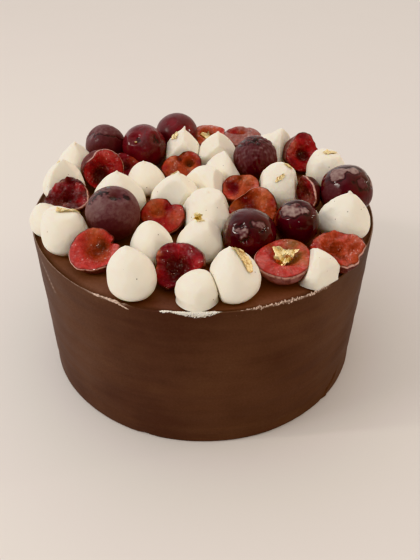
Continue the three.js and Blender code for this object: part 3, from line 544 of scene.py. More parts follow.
def turned(profile, segments):
    """Points and faces of a closed solid turned about Z; the profile starts and ends on the axis."""
    profile = np.asarray(profile, float)
    rings = len(profile) - 2
    angle = np.linspace(0, TAU, segments, endpoint=False)
    radius, height = profile[1:-1, :1], profile[1:-1, 1:]
    x, y = radius * np.cos(angle), radius * np.sin(angle)
    z = np.broadcast_to(height, x.shape)
    points = np.vstack([
        [0, 0, profile[0, 1]], np.stack([x, y, z], -1).reshape(-1, 3), [0, 0, profile[-1, 1]],
    ])
    index = ring_numbers(rings, segments)
    low, high, last = index[0].tolist(), index[-1].tolist(), len(points) - 1
    faces = [(0, b, a) for a, b in zip(low, low[1:])]
    faces += quads(index.T)
    faces += [(a, b, last) for a, b in zip(high, high[1:])]
    return points, faces


def mesh_object(name, points, faces, material, attributes=None):
    """A smooth mesh object from points in mm, with named values kept at its points."""
    mesh = bpy.data.meshes.new(name)
    mesh.from_pydata((np.asarray(points) * MM).tolist(), [], faces)
    mesh.shade_smooth()
    for key, values in (attributes or {}).items():
        flat = values.ndim == 1
        layer = mesh.attributes.new(key, "FLOAT" if flat else "FLOAT_VECTOR", "POINT")
        layer.data.foreach_set("value" if flat else "vector", values.astype(np.float32).ravel())
    mesh.materials.append(material)
    piece = bpy.data.objects.new(name, mesh)
    bpy.context.scene.collection.objects.link(piece)
    return piece


# ------------------------------------------------------------------ cake body


def wall_wave(angle, height):
    """How far the scraped wall stands in or out of true, as in the CAD."""
    slow = np.sin(2 * angle + 0.6) + 0.7 * np.sin(3 * angle - 1.1 + height / 31)
    quick = 0.45 * np.sin(5 * angle + height / 17) + 0.3 * np.sin(9 * angle - height / 23)
    return WALL_WAVE * (slow + quick) / 2


def between(angle, start, end, soft=2.0):
    """1 from one angle to another in degrees, and 0 elsewhere, with soft ends."""
    turn = np.degrees(np.arctan2(np.sin(angle), np.cos(angle)))
    return smoothstep(start - soft, start + soft, turn) * smoothstep(end + soft, end - soft, turn)


def lip_roughness(angle):
    """How broken the raised edge is: worst where the scraper dragged, at the front."""
    rough = 0.12 + sum(more * between(angle, start, end, soft) for start, end, more, soft in LIP_BREAKS)
    return rough + 0.25 * (0.5 + 0.5 * np.sin(5 * angle + 1)) * between(angle, 20, 179, 8)


def lip_share(angle):
    """How much of the raised edge is left: the scraper rounded it off at the front."""
    return 1 - sum(loss * between(angle, start, end) for start, end, loss in LIP_LOSSES)


def coat_profile():
    """Outline of the coat from the middle of the underside over the wall to the top's middle."""
    foot = CAKE_RADIUS - WALL_TAPER
    points = [(0, 0), (40, 0), (70, 0)]
    for turn in np.linspace(0, math.pi / 2, 5):
        reach = FOOT_ROUNDING * math.sin(turn)
        points.append((foot - FOOT_ROUNDING + reach, FOOT_ROUNDING * (1 - math.cos(turn))))
    for share in np.linspace(0, 1, 62)[1:-1]:
        height = FOOT_ROUNDING + share * (CAKE_TOP - SHOULDER_DROP - FOOT_ROUNDING)
        points.append((foot + WALL_TAPER * share, height))
    lip = flowing([
        (CAKE_RADIUS, CAKE_TOP - SHOULDER_DROP),
        (CAKE_RADIUS, CAKE_TOP + LIP_RISE * 0.35),
        (CAKE_RADIUS - 0.12, CAKE_TOP + LIP_RISE * 0.85),
        (CAKE_RADIUS - LIP_CREST_INSET, CAKE_TOP + LIP_RISE),
        (CAKE_RADIUS - LIP_CREST_INSET - 0.4, CAKE_TOP + LIP_RISE * 0.5),
        (CAKE_RADIUS - LIP_FOOT_INSET, CAKE_TOP),
    ], [4, 4, 5, 5, 5])
    points += [tuple(p) for p in lip]
    points += [(radius, CAKE_TOP) for radius in TOP_RINGS]
    return points + [(0, CAKE_TOP)]


def shape_coat(points):
    """Move points of a true turned coat to where the scraped one has them."""
    x, y, z = points.T
    radius = np.maximum(np.hypot(x, y), 1e-6)
    angle = np.arctan2(y, x)
    on_wall = smoothstep(LIP_FOOT_INSET + 0.4, LIP_FOOT_INSET - 0.6, CAKE_RADIUS - radius)
    out = wall_wave(angle, z) * on_wall
    turn = np.degrees(angle)
    # The rim bulges at the front right and is drawn in a little at the front.
    bulge = sum(mm * bell(turn - at, width) for at, width, mm in RIM_BULGES)
    out += on_wall * smoothstep(20, 75, z) * bulge
    out += on_wall * 0.10 * ripple(points * (1, 1, 9), 38, 31)
    out += on_wall * 0.035 * ripple(points * (1, 1, 5), 7, 32)
    # Marks in the wall: a chipped foot, a small crack and a dragged seam at the lower right.
    marks = sum(
        deep * bell(turn - at, width) * bell(z - up, height)
        for at, width, up, height, deep in (FOOT_CHIP, WALL_CRACK)
    )
    off_seam = turn - (SEAM_FOOT + SEAM_LEAN * z + 0.6 * np.sin(z))
    seam = bell(off_seam, 0.75) * smoothstep(12.5, 9, z)
    ledge = bell(off_seam - 1.6, 0.9) * smoothstep(12.5, 8, z)
    ragged = 1 + 0.6 * ripple(points, 1.4, 33)
    out -= on_wall * ragged * (marks + 0.75 * seam - 0.3 * ledge)
    # The raised edge: its crest wanders, and is chipped where the coat set before it was cleaned.
    crest = bell(CAKE_RADIUS - LIP_CREST_INSET - radius, 0.9) * (z > CAKE_TOP - 1)
    rough = lip_roughness(angle)
    lip = np.maximum(z - CAKE_TOP, 0) * on_wall
    chips = ripple(points * (1, 1, 0.3), 1.3, 34) + 0.6 * ripple(points * (1, 1, 0.3), 0.6, 35)
    lift = crest * (0.15 * ripple(points * (1, 1, 0.2), 9, 36) + 0.42 * rough * chips)
    lift -= lip * (1 - lip_share(angle))
    # The top: faint waves from the palette knife.
    on_top = smoothstep(CAKE_RADIUS - LIP_FOOT_INSET + 0.3, CAKE_RADIUS - LIP_FOOT_INSET - 1, radius)
    on_top = on_top * (z > CAKE_TOP - 1)
    lift += on_top * 0.07 * ripple(points, 8, 37)
    scale = (radius + out) / radius
    return np.stack([x * scale, y * scale, z + lift], -1)


def coat_marks(points):
    """Where the coat is painted pale by wear and highlight, and where it is the flat top
    with its painted light and shade, as values from 0 to 1.
    """
    x, y, z = points.T
    radius, angle = np.hypot(x, y), np.arctan2(y, x)
    turn = np.degrees(angle)
    # Wear and painted highlight: the crest of the raised edge is painted pale, more where it is rough.
    width = 0.17 + 0.3 * lip_roughness(angle)
    crest = bell(radius - CAKE_RADIUS + LIP_CREST_INSET, width) * (z > CAKE_TOP + 0.2)
    wear_and_highlight = crest * lip_share(angle) ** 2 * (0.85 + 0.9 * lip_roughness(angle))
    # A short pale scrape slants down the wall, high on the left.
    scrape_turn = SCRAPE_START + SCRAPE_LEAN * (SCRAPE_HEIGHT - z)
    scrape = bell(turn - scrape_turn, 0.7) * smoothstep(62, 65, z) * smoothstep(75, 72, z)
    wear_and_highlight = np.clip(wear_and_highlight + 0.8 * scrape, 0, 1)
    top = smoothstep(CAKE_RADIUS - 2.2, CAKE_RADIUS - 3.4, radius) * (z > CAKE_TOP - 1)
    # Painted light and shade: the top is paler towards the right, as painted light, and darkest
    # about halfway to the left, as painted shade.
    top = top * (0.67 + 0.33 * smoothstep(-10, 40, x) - 0.25 * bell(x + 42, 18))
    return wear_and_highlight, top


def rim_mark(mark):
    """A crust that lies along the raised edge, and sinks into the coat where it has broken away."""
    profile = np.array(coat_profile())
    profile = profile[profile.min(axis=1) > EDGE_ZONE]
    steps = np.linalg.norm(np.diff(profile, axis=0), axis=1)
    along = np.concatenate([[0], np.cumsum(steps)])
    along -= along[profile[:, 1].argmax()]
    turns, middles, widths, heights = np.array(mark["knots"]).T
    count = int((turns[-1] - turns[0]) * 9)
    turn = np.linspace(turns[0], turns[-1], count)
    place = np.linspace(*EDGE_REACH, 50)
    radius, level = np.interp(place, along, profile[:, 0]), np.interp(place, along, profile[:, 1])
    out_radius, out_level = np.gradient(level, place), -np.gradient(radius, place)
    cos, sin = np.cos(np.radians(turn))[:, None], np.sin(np.radians(turn))[:, None]
    points = np.stack([radius * cos, radius * sin, level + 0 * cos], -1).reshape(-1, 3)
    out = np.stack([out_radius * cos, out_radius * sin, out_level + 0 * cos], -1).reshape(-1, 3)
    base = shape_coat(points)
    away = (place - np.interp(turn, turns, middles)[:, None]) / np.interp(turn, turns, widths)[:, None]
    lumps = ripple(points, mark["grain"], 41) + 0.6 * ripple(points, mark["grain"] / 2.2, 42)
    cover = (1 - away**2).ravel() + (0.2 + 0.5 * mark["broken"]) * lumps - mark["broken"]
    rise = np.repeat(np.interp(turn, turns, heights), len(place)) * np.minimum(cover, 1)
    top = base + np.maximum(rise, -0.35)[:, None] * out
    index = np.arange(count * len(place)).reshape(count, -1)
    loop = [*index[:, 0], *index[-1, 1:], *index[-2::-1, -1], *index[0, -2:0:-1]]
    return np.vstack([top, base - CRUST_DEPTH * out]), with_underside(quads(index), loop, index.size)


# ------------------------------------------------------------------ toppings


def kiss_outline(spec):
    """Outline of a kiss, between a dome's and a straight-sided cone's."""
    cone, blunt = spec["cone"], spec.get("blunt", 0)
    dome = [(0.66, 0), (0.95, 0.19), (1.0, 0.39), (0.94, 0.58), (0.76, 0.77), (0.42, 0.92), (0, 1)]
    slope = [(0.74, 0), (0.97, 0.16), (1.0, 0.34), (0.87, 0.55), (0.58, 0.76), (0.22, 0.93), (0, 1)]
    flat = [(0, 0), (0, 0), (0, 0), (0.02, 0), (0.08, 0), (0.24, 0), (0, 0)]
    outline = (1 - cone) * np.array(dome) + cone * np.array(slope) + blunt * np.array(flat)
    outline[0, 0] = spec.get("foot", outline[0, 0])
    return outline * (spec["r"], spec["peak"])


def kiss_shape(spec, random, detail):
    """A cream kiss: round body on a narrower base, drawn up to a tip with a little tail."""
    r, peak = spec["r"], spec["peak"]
    points, faces = turned([(0, 0), *flowing(kiss_outline(spec), [8, 8, 8, 9, 11, 20])], 72)
    phase = random() * TAU
    wobble = 0.02 + 0.02 * random()
    x, y, z = points.T
    angle = np.arctan2(y, x)
    swell = 1 + wobble * np.sin(2 * angle + phase) + 0.012 * np.sin(3 * angle - phase)
    share = z / peak
    seed = int(detail.integers(1 << 30))
    swell += 0.010 * ripple(points, 4.5, seed) * smoothstep(0.02, 0.2, share)
    away = np.hypot(x, y)
    points = np.stack([x * swell + spec["lean"] * share**3, y * swell, z], -1)
    # Slack cream settles into flat sides with soft ridges between them, but keeps its tip.
    kept = smoothstep(0.2, 1.6, away)
    loose = [((detail.uniform(0, 360), detail.uniform(20, 45)), detail.uniform(0.2, 0.5)) for _ in range(3)]
    for way, depth in spec["flats"] + loose:
        over = points @ heading(way)
        over -= over.max() - depth
        give = 0.3 * np.logaddexp(0, over / 0.3) * kept
        if way[1] > 20:
            give *= smoothstep(0, 0.12, share)
        points -= give[:, None] * heading(way)
    middle = np.array([0, 0, 0.4 * peak])
    for way, width, length in spec.get("pulls", []):
        towards = (points - middle) / np.linalg.norm(points - middle, axis=1)[:, None]
        points += length * np.exp(-degrees_from(way, towards) / width)[:, None] * heading(way)
    tail = bell(away, 0.85) * (share > 0.8)
    tip = detail.uniform(0, TAU)
    hook = 0.5 * spec["nub"]
    points += tail[:, None] * (hook * math.cos(tip), hook * math.sin(tip), spec["nub"])
    points += (0.05 * ripple(points, 1.6, seed + 1) * kept)[:, None] * (points - middle) / r
    return points, faces, {}


def cherry_shape(spec, random, detail):
    """A whole cherry: a slightly squat ball, dimpled and creased at its stem end."""
    r = spec["r"]
    turn = np.linspace(0, math.pi, 76)
    points, faces = turned(np.stack([r * np.sin(turn), -r * np.cos(turn)], -1), 120)
    random()  # the part's source draws a number for each cherry, and the halves go on from there
    seed = int(detail.integers(1 << 30))
    unit = points / r
    near = np.radians(degrees_from(spec["stem"], unit))
    dimple = 0.11 * bell(near, 0.3)
    shoulder = 0.035 * bell(near - 0.75, 0.4)
    lump = 0.010 * ripple(points, 7, seed)
    creases = bell(ripple(points * (1, 1, 0.5), 3.2, seed + 1), 0.25)
    dents = 0.004 * ripple(points, 2.6, seed + 2)
    scale = 1 - dimple + shoulder + lump + dents - spec["wrinkle"] / r * creases
    border = 5 * ripple(points, 2.8, seed + 3) + 2.4 * ripple(points, 1.1, seed + 4)
    frost = np.full(len(points), float(spec["frost"]))
    outside = np.full(len(points), 90.0)
    for way, width, value, line in spec["spots"]:
        away = degrees_from(way, unit) + border
        share = smoothstep(width + 1.6, width - 1.6, away)
        frost += (value - frost) * share
        # Thawed places are sunk a little into the frosted skin, and their edge catches the light.
        if value < spec["frost"]:
            scale = scale - 0.012 * share
        if line:
            outside = np.minimum(outside, away - width - line)
    # Thick frost ends in a dark wet line, and dark ferns grow where it starts to thaw.
    shade = bell(outside, 2.6)
    scale = scale - 0.015 * shade
    fern = smoothstep(-0.45, 0.1, ripple(points, 0.8, seed + 7) + 0.4 * ripple(points, 2.0, seed + 8))
    # Dark places: wet thawed skin, and painted shade where one lies in a dent or the stem's dimple.
    for way, width, ferny in spec.get("shades", []):
        away = degrees_from(way, unit) + border
        share = smoothstep(width * 1.25, width * 0.75, away)
        shade = np.maximum(shade, share * (fern if ferny else 1))
    frost *= (1 + spec["grain"] * ripple(points, 0.8, seed + 6)) * (1 - shade)
    frost *= 1 - bell(near, 0.2)
    for way, width, deep in spec.get("dents", []):
        away = degrees_from(way, unit) + 0.5 * border
        scale = scale - deep * (bell(away, width) - 0.4 * bell(away - 1.5 * width, 0.5 * width))
    points = points * scale[:, None] * (1, 1, spec["tall"])
    red = np.clip(spec["red"] * (1 + 0.4 * ripple(points, 6, seed + 5)), 0, 1)
    return points, faces, {"frost": frost, "shade": shade, "red": red}


def rim_radius(angle, outline):
    """Radius of a rim at each angle, on a smooth closed curve through (degrees, radius) pairs."""
    turns, radii = np.array(outline).T
    turns = np.concatenate([turns - 360, turns, turns + 360])
    radii = np.tile(radii, 3)
    slopes = np.gradient(radii, turns)
    turn = np.degrees(angle) % 360
    after = np.searchsorted(turns, turn, side="right")
    before = after - 1
    span = turns[after] - turns[before]
    t = (turn - turns[before]) / span
    start = radii[before] * (1 + 2 * t) * (1 - t) ** 2 + slopes[before] * span * t * (1 - t) ** 2
    return start + radii[after] * t**2 * (3 - 2 * t) + slopes[after] * span * t**2 * (t - 1)


def flesh_colours(spec, x, y, share, hollow, seed):
    """Colour of cut flesh at each point of a face, from its ring, hollow and patches,
    with painted shade deep in the hollow.
    """
    ring, bowl = (np.array(linear(FLESH[name])) for name in spec["flesh"])
    places = np.stack([x, y, 0 * x], -1) * spec["r"]
    blotch = ripple(places, 2.2, seed) + 0.6 * ripple(places, 0.9, seed + 1)
    colour = ring + (bowl - ring) * smoothstep(0.25, 0.8, hollow + 0.1 * blotch)[:, None]
    for turn, distance, size, name in spec["patches"]:
        away = from_place(x, y, turn, distance, size)
        part = bell(np.maximum(away + 0.22 * blotch, 0), 1)
        colour += (np.array(linear(FLESH[name])) - colour) * 0.9 * part[:, None]
    # Just inside the skin the flesh is dark, and the deepest part of the hollow is darker too,
    # as painted shade.
    under_skin = smoothstep(0.9, 0.975, share + 0.015 * blotch)
    dark = 1 - 0.7 * under_skin - 0.3 * smoothstep(0.75, 1.0, hollow)
    return colour * (dark * (1 + 0.1 * blotch))[:, None]


def half_rings(r):
    """Profile of a half from its lowest point, and the rings where its edge and its flesh start."""
    depth = HALF_DEPTH * r
    below = [(r * math.sin(a), -depth * math.cos(a)) for a in np.radians(np.linspace(3, 84, 22))]
    edge = [(r, -0.035 * r), (0.998 * r, -0.008 * r), (0.99 * r, 0.01 * r), (0.978 * r, 0.02 * r)]
    face = [(share * r, 0.03 * r) for share in np.linspace(0.955, 0, 38)]
    start = 1 + len(below)
    return np.array([(0, -depth), *below, *edge, *face]), start, start + len(edge)


def cut_relief(spec, points, share, flesh, from_cleft, seed):
    """Rise of a cut face in mm, and how much of each point is in the hollow and inside the skin."""
    r = spec["r"]
    x, y = points[:, 0] / r, points[:, 1] / r
    down, right, length, width, deep = spec["bowl"]
    away = np.hypot((x - down) / length, (y - right) / width) + 0.1 * ripple(points, 3.5, seed)
    hollow = flesh * smoothstep(1.3, 0.12, away) * smoothstep(1.0, 0.86, share)
    inner = flesh * smoothstep(1.0, 0.88, share)
    rise = 0.035 * r * inner - deep * r * hollow
    for turn, distance, size, height in spec.get("bumps", []):
        rise += inner * height * bell(from_place(x, y, turn, distance, size), 1)
    notch = spec["cleft"][0]
    if notch > 0.1:
        # A deep notch goes on as a valley towards the hollow.
        valley = bell(from_cleft, 0.28) * smoothstep(0.2, 0.6, share) * inner
        rise -= 1.2 * notch / 0.28 * valley
    return rise, hollow, inner


def half_shape(spec, random, detail):
    """Half a cherry, cut face on top: skin below, a thin skin edge, flesh, and the stone's hollow."""
    r = spec["r"]
    depth = HALF_DEPTH * r
    profile, edge_start, flesh_start = half_rings(r)
    segments = 120
    points, faces = turned(profile, segments)
    seed = int(detail.integers(1 << 30))
    phase = random() * TAU
    x, y, z = points.T
    angle = np.arctan2(y, x)
    share = np.hypot(x, y) / r
    last = len(profile) - 1
    ring_of = np.concatenate([[0], np.repeat(np.arange(1, last), segments), [last]])
    flesh = (ring_of >= flesh_start).astype(float)
    edge = (ring_of >= edge_start) - flesh
    # The outline of the cut, and the notch that runs down the skin from it.
    around = np.stack([np.cos(angle), np.sin(angle), 0 * angle], -1)
    torn = spec["ragged"] * (ripple(around * r, 2.4, seed + 7) + 0.5 * ripple(around * r, 1.0, seed + 8))
    rim = rim_radius(angle, spec["outline"]) * (1 + 0.35 * torn)
    from_cleft = np.arccos(np.cos(angle - math.radians(spec["cleft"][1])))
    notch = spec["cleft"][0] * bell(from_cleft, 0.42)
    low = 1 - notch * smoothstep(0.3, 1.0, share)
    low += spec.get("tuck", 0) * (np.minimum(rim + 0.06, low) - low) * smoothstep(0.2, 0.7, share)
    rise = smoothstep(-0.55 * depth, -0.04 * depth, z)
    scale = low + (rim - low) * rise
    x, y = x * scale, y * scale
    lifted = z + 0.6 * spec["ragged"] * r * rise * smoothstep(0.3, 1.0, share) * np.sin(4 * angle + phase)
    flat = np.stack([x, y, z], -1)
    relief, hollow, inner = cut_relief(spec, flat, share, flesh, from_cleft, seed + 3)
    points = np.stack([x, y, lifted + relief], -1)
    # Wet flesh: lumps, and fibres that run from the hollow to the skin.
    lumps = ripple(points, 3.0, seed) + 0.5 * ripple(points, 1.4, seed + 1)
    lumps += 0.22 * ripple(points, 0.7, seed + 9)
    grain = np.stack([np.cos(angle), np.sin(angle), 0.12 * share], -1) * 10
    fibres = ripple(grain, 0.45, seed + 2) * smoothstep(0.25, 0.6, share)
    points[:, 2] += inner * (spec["lumps"] * lumps + 0.08 * fibres)
    skin = 1 - flesh - edge
    border = rise * smoothstep(0.3, 1.0, share)
    bulge = 0.006 * skin * ripple(points, 3.5, seed + 4)
    bulge += 0.3 * spec["lumps"] / r * border * ripple(points, 3.4, seed + 5)
    points *= (1 + bulge)[:, None]
    middle, reach, strength = spec.get("rim", (0, 0, 0))
    off_arc = np.abs((np.degrees(angle) - middle + 180) % 360 - 180)
    pale = edge * (0.1 + strength * smoothstep(reach + 12, reach - 8, off_arc))
    tint = flesh_colours(spec, x / r, y / r, share, hollow, seed + 6)
    # Set it on the cake, the cut face looking its own way.
    spin = Matrix.Rotation(math.radians(spec["face"][0]), 3, "Z")
    tip = Matrix.Rotation(math.radians(90 - spec["face"][1]), 3, "Y")
    points = points @ np.array(spin @ tip).T
    frost = spec["frost"] * skin
    attributes = {"tint": tint, "flesh": flesh, "edge": pale, "frost": frost, "grain": grain}
    return points, faces, attributes


SEEDS = {"kiss": 7, "cherry": 2015813111}  # the halves go on with the cherries' numbers
SHAPES = {"kiss": (kiss_shape, KISSES), "cherry": (cherry_shape, CHERRIES), "half": (half_shape, HALVES)}


def resting_height(radius):
    """Lowest height that a topping may reach at a distance from the cake's middle."""
    rise = smoothstep(CAKE_RADIUS - 11, CAKE_RADIUS - LIP_FOOT_INSET - 1, radius)
    return CAKE_TOP + REST_GAP + LIP_RISE * rise


def place_of(kind, spec):
    """Where a topping's own origin is, and its heart, a point well inside it, from that origin."""
    floor = CAKE_TOP + FLOOR_GAP
    if kind == "kiss":
        return np.array([spec["x"], spec["y"], floor]), np.array([0, 0, 0.4 * spec["peak"]])
    if kind == "cherry":
        lift = spec["r"] * spec["tall"] * CHERRY_SINK
        return np.array([spec["x"], spec["y"], floor + lift]), np.zeros(3)
    up, r = math.radians(spec["face"][1]), spec["r"]
    lift = math.hypot(r * math.cos(up), HALF_DEPTH * r * math.sin(up)) + spec.get("lift", 0)
    heart = -HALF_HEART * HALF_DEPTH * r * heading(spec["face"])
    return np.array([spec["x"], spec["y"], floor + lift]), heart


def spread_directions(count):
    """Directions spread evenly over a sphere."""
    index = np.arange(count)
    z = 1 - 2 * (index + 0.5) / count
    level = np.sqrt(1 - z * z)
    turn = index * math.pi * (3 - math.sqrt(5))
    return np.stack([level * np.cos(turn), level * np.sin(turn), z], -1)


def parting_plane(a, b, directions):
    """The plane that parts two toppings with the least loss to them, or None if they are clear."""
    soft_a, soft_b = SOFTNESS[a["kind"]], SOFTNESS[b["kind"]]
    if "cherry" not in (a["kind"], b["kind"]):
        soft_b *= math.exp((b["place"][1] - a["place"][1]) / SET_LATER)
    share = soft_a / (soft_a + soft_b)
    line = b["heart"] - a["heart"]
    normals = np.vstack([line / np.linalg.norm(line), directions])
    reach_a = (a["points"] @ normals.T).max(0)
    reach_b = (b["points"] @ normals.T).min(0)
    overlap = reach_a - reach_b
    if overlap.min() <= 0:
        return None
    lowest, highest = normals @ a["heart"] + HEART_MARGIN, normals @ b["heart"] - HEART_MARGIN
    overlap[lowest > highest] = np.inf
    best = int(overlap.argmin())
    wanted = reach_a[best] - overlap[best] * share
    return normals[best], float(np.clip(wanted, lowest[best], highest[best]))


def towards_heart(points, heart, height, normal, give):
    """Move points towards the heart until each lies so much lower along a plane's normal."""
    span = np.maximum(height - heart @ normal, 1e-3)
    return points + (heart - points) * np.clip(give / span, 0, 1)[:, None]


def press(piece):
    """Flatten a topping against its planes, with rounded edges, and rest it on the coat."""
    points, heart = piece["points"], piece["heart"]
    edge = SOFT_EDGE[piece["kind"]]
    puckers = PUCKER * ripple(points, 1.5, 71) if piece["kind"] == "kiss" else 0
    for normal, offset in piece["planes"]:
        height = points @ normal
        over = height - offset + PRESS_GAP
        # Soft cream puckers beside what it is pressed against.
        beside = puckers * bell(over + 1.3, 0.8)
        points = points + np.reshape(beside, (-1, 1)) * (points - heart) / 9
        give = edge * np.logaddexp(0, over / edge)
        give[over < -5 * edge] = 0
        if piece["kind"] == "kiss":
            points = points - give[:, None] * normal
        else:
            points = towards_heart(points, heart, height, normal, give)
    lowest = resting_height(np.hypot(points[:, 0], points[:, 1]))
    points[:, 2] = np.maximum(points[:, 2], lowest)
    for normal, offset in piece["planes"]:
        height = points @ normal
        give = np.maximum(height - offset + PRESS_GAP, 0)
        points = towards_heart(points, heart, height, normal, give)
    lowest = resting_height(np.hypot(points[:, 0], points[:, 1]))
    above = (points[:, 2] - FLOOR_GAP - lowest) / REST_EDGE
    points[:, 2] = lowest + REST_EDGE * np.logaddexp(0, above)
    piece["points"] = points


@functools.cache
def toppings():
    """Every topping by its node's name, shaped and pressed against its neighbours."""
    pieces = []
    for kind, (shape, specs) in SHAPES.items():
        if kind != "half":
            random = mulberry(SEEDS[kind])
        for number, spec in enumerate(specs, 1):
            detail = np.random.default_rng([ord(kind[0]), number])
            points, faces, attributes = shape(spec, random, detail)
            place, heart = place_of(kind, spec)
            pieces.append({
                "name": f"{kind}_{number:02d}", "kind": kind, "spec": spec, "faces": faces,
                "points": points + place, "heart": heart + place, "place": place,
                "attributes": attributes, "planes": [],
                "reach": float(np.linalg.norm(points, axis=1).max()),
            })
    directions = spread_directions(DIRECTIONS)
    for i, a in enumerate(pieces):
        for b in pieces[i + 1 :]:
            if np.linalg.norm(a["place"] - b["place"]) > a["reach"] + b["reach"]:
                continue
            plane = parting_plane(a, b, directions)
            if plane is None:
                continue
            normal, offset = plane
            a["planes"].append((normal, offset))
            b["planes"].append((-normal, -offset))
    for piece in pieces:
        press(piece)
    return {piece["name"]: piece for piece in pieces}


# ------------------------------------------------------------------ gold leaf


def torn_outline(scrap, detail, angle):
    """Reach of a scrap of leaf at each angle: straight tears between its corners, finely frayed."""
    if "corners" in scrap:
        corners = np.array(scrap["corners"], float)
    else:
        turns = (np.arange(13) + detail.uniform(-0.35, 0.35, 13)) / 13 * TAU
        reach = detail.uniform(0.62, 1.15, 13)[:, None]
        corners = reach * np.stack([np.cos(turns), np.sin(turns)], -1) * np.array(scrap["size"]) / 2
    way = np.stack([np.cos(angle), np.sin(angle)], -1)
    reach = np.zeros(len(angle))
    for a, b in zip(corners, np.roll(corners, -1, axis=0)):
        # Where the ray from the middle along `way` meets the side from a to b.
        side = b - a
        turn = way[:, 0] * side[1] - way[:, 1] * side[0]
        turn = np.where(np.abs(turn) < 1e-9, 1e-9, turn)
        far = (a[0] * side[1] - a[1] * side[0]) / turn
        along = (a[0] * way[:, 1] - a[1] * way[:, 0]) / turn
        reach = np.where((along >= 0) & (along <= 1) & (far > reach), far, reach)
    around = np.stack([way[:, 0], way[:, 1], 0 * angle], -1)
    return np.maximum(reach, 0.15) * (1 + 0.10 * ripple(around * 4, 0.9, 5))


def drape(starts, facing, tree, hit, width):
    """Where the points of a sheet lie once it is let down on a topping."""
    ground = []
    for start in starts:
        spot = tree.ray_cast(Vector(start), Vector(-facing), 16)[0]
        ground.append(np.array(spot) if spot else start - 11 * facing)
    # Where the sheet reaches past the topping it hangs by about half its width at most.
    fall = (np.array(ground) - hit) @ facing
    lowest = np.percentile(fall, 60) - 0.6 * width
    return ground + np.maximum(lowest - fall, 0)[:, None] * facing


def leaf_shape(scrap, host, detail, thickness):
    """A crumpled scrap of leaf that drapes over the topping that carries it, or stands on it."""
    segments, rings = 84, 15
    angle = np.linspace(0, TAU, segments, endpoint=False)
    reach = torn_outline(scrap, detail, angle)
    share = np.linspace(1, 0, rings, endpoint=False)[::-1]
    x = (share[:, None] * reach * np.cos(angle)).ravel()
    y = (share[:, None] * reach * np.sin(angle)).ravel()
    flat = np.vstack([[0, 0, 0], np.stack([x, y, 0 * x], -1)])
    border = np.concatenate([[0], np.repeat(share, segments)])
    seed = int(detail.integers(1 << 30))
    folds = np.abs(ripple(flat, 3.0 if "faces" in scrap else 2.3, seed, 5))
    small = np.abs(ripple(flat, 0.9, seed + 1, 8))
    out = heading(scrap["at"])
    facing = heading(scrap.get("faces", scrap["at"]))
    spin = Matrix.Rotation(math.radians(scrap["turn"]), 3, "Z")
    turn = np.array(Vector((0, 0, 1)).rotation_difference(Vector(facing)).to_matrix() @ spin)
    tree = BVHTree.FromPolygons(host["points"].tolist(), host["faces"])
    hit = np.array(tree.ray_cast(Vector(host["heart"] + 40 * out), Vector(-out))[0])
    if "faces" in scrap:
        # A sheet that stands by itself, creased, and bent like a saddle.
        right = np.cross([0, 0, 1], facing)
        right /= np.linalg.norm(right)
        stand = np.stack([right, np.cross(facing, right), facing], -1)
        height = 1.8 * folds + 0.25 * small + 0.05 * (flat[:, 0] ** 2 - flat[:, 1] ** 2)
        points = (flat + np.stack([0 * height, 0 * height, height], -1)) @ stand.T
        points += hit + scrap["stands"] * out
    else:
        flutter = 0.5 + 0.5 * ripple(flat, 2.4, seed + 2)
        height = 0.1 + 0.34 * folds + 0.2 * small
        height += border**4 * 0.4 * flutter.clip(0, 1) + scrap["stands"]
        ground = drape(flat @ turn.T + hit + 8 * facing, facing, tree, hit, scrap["size"][1])
        points = ground + height[:, None] * facing
    count = len(points)
    points = np.vstack([points, points - thickness * facing])
    index = ring_numbers(rings, segments)
    middle, border_loop = index[0].tolist(), index[-1, :-1].tolist()
    skin = [(0, a, b) for a, b in zip(middle, middle[1:])] + quads(index)
    deep = smoothstep(0.3, 0.0, folds + 0.3 * small)
    return points, with_underside(skin, border_loop, count), {"deep": np.concatenate([deep, deep])}


# ------------------------------------------------------------------ materials


BLEND = {"data_type": "RGBA"}
SCALED = {"operation": "SCALE"}
TIMES = {"operation": "MULTIPLY"}
TIMES_CLAMPED = {**TIMES, "use_clamp": True}
TIMES_PLUS = {"operation": "MULTIPLY_ADD"}
SPREAD = {"From Min": 0.3, "From Max": 0.7}  # most values of a noise lie between these


def add(tree, kind, settings=None, inputs=None):
    """Add a node with its settings; a node or socket as input is linked, and a value is set."""
    node = tree.nodes.new(kind)
    for key, value in (settings or {}).items():
        setattr(node, key, value)
    for key, value in (inputs or {}).items():
        if isinstance(value, bpy.types.Node):
            value = next(socket for socket in value.outputs if socket.enabled)
        if isinstance(value, bpy.types.NodeSocket):
            tree.links.new(value, node.inputs[key])
        else:
            node.inputs[key].default_value = value
    return node


def across(millimetres):
    """Scale of a pattern whose features are so many millimetres across."""
    return 1000 / millimetres


def opaque(colour):
    """A colour with the alpha that colour inputs want."""
    return (*colour, 1.0)


def finish(draw, settings):
    """The material that a function draws and is named for, made if it isn't there yet."""
    name = draw.__name__
    if name not in bpy.data.materials:
        material = bpy.data.materials.new(name)
        material.use_nodes = True
        material.node_tree.nodes.clear()
        shader = draw(material.node_tree, settings)
        add(material.node_tree, "ShaderNodeOutputMaterial", inputs={"Surface": shader})
    return bpy.data.materials[name]


def scattered(tree, place, scale, chance, inner, outer, strength):
    """Specks in a share of the pattern's cells: strong up to one distance, and gone at another."""
    cells = add(tree, "ShaderNodeTexVoronoi", inputs={"Vector": place, "Scale": scale})
    drawn = add(tree, "ShaderNodeSeparateColor", inputs={0: cells.outputs["Color"]})
    picked = add(tree, "ShaderNodeMath", {"operation": "LESS_THAN"}, {0: drawn, 1: chance})
    near = add(tree, "ShaderNodeMapRange", inputs={
        "Value": cells.outputs["Distance"], "From Min": inner, "From Max": outer,
        "To Min": strength, "To Max": 0.0})
    return add(tree, "ShaderNodeMath", TIMES, {0: picked, 1: near})


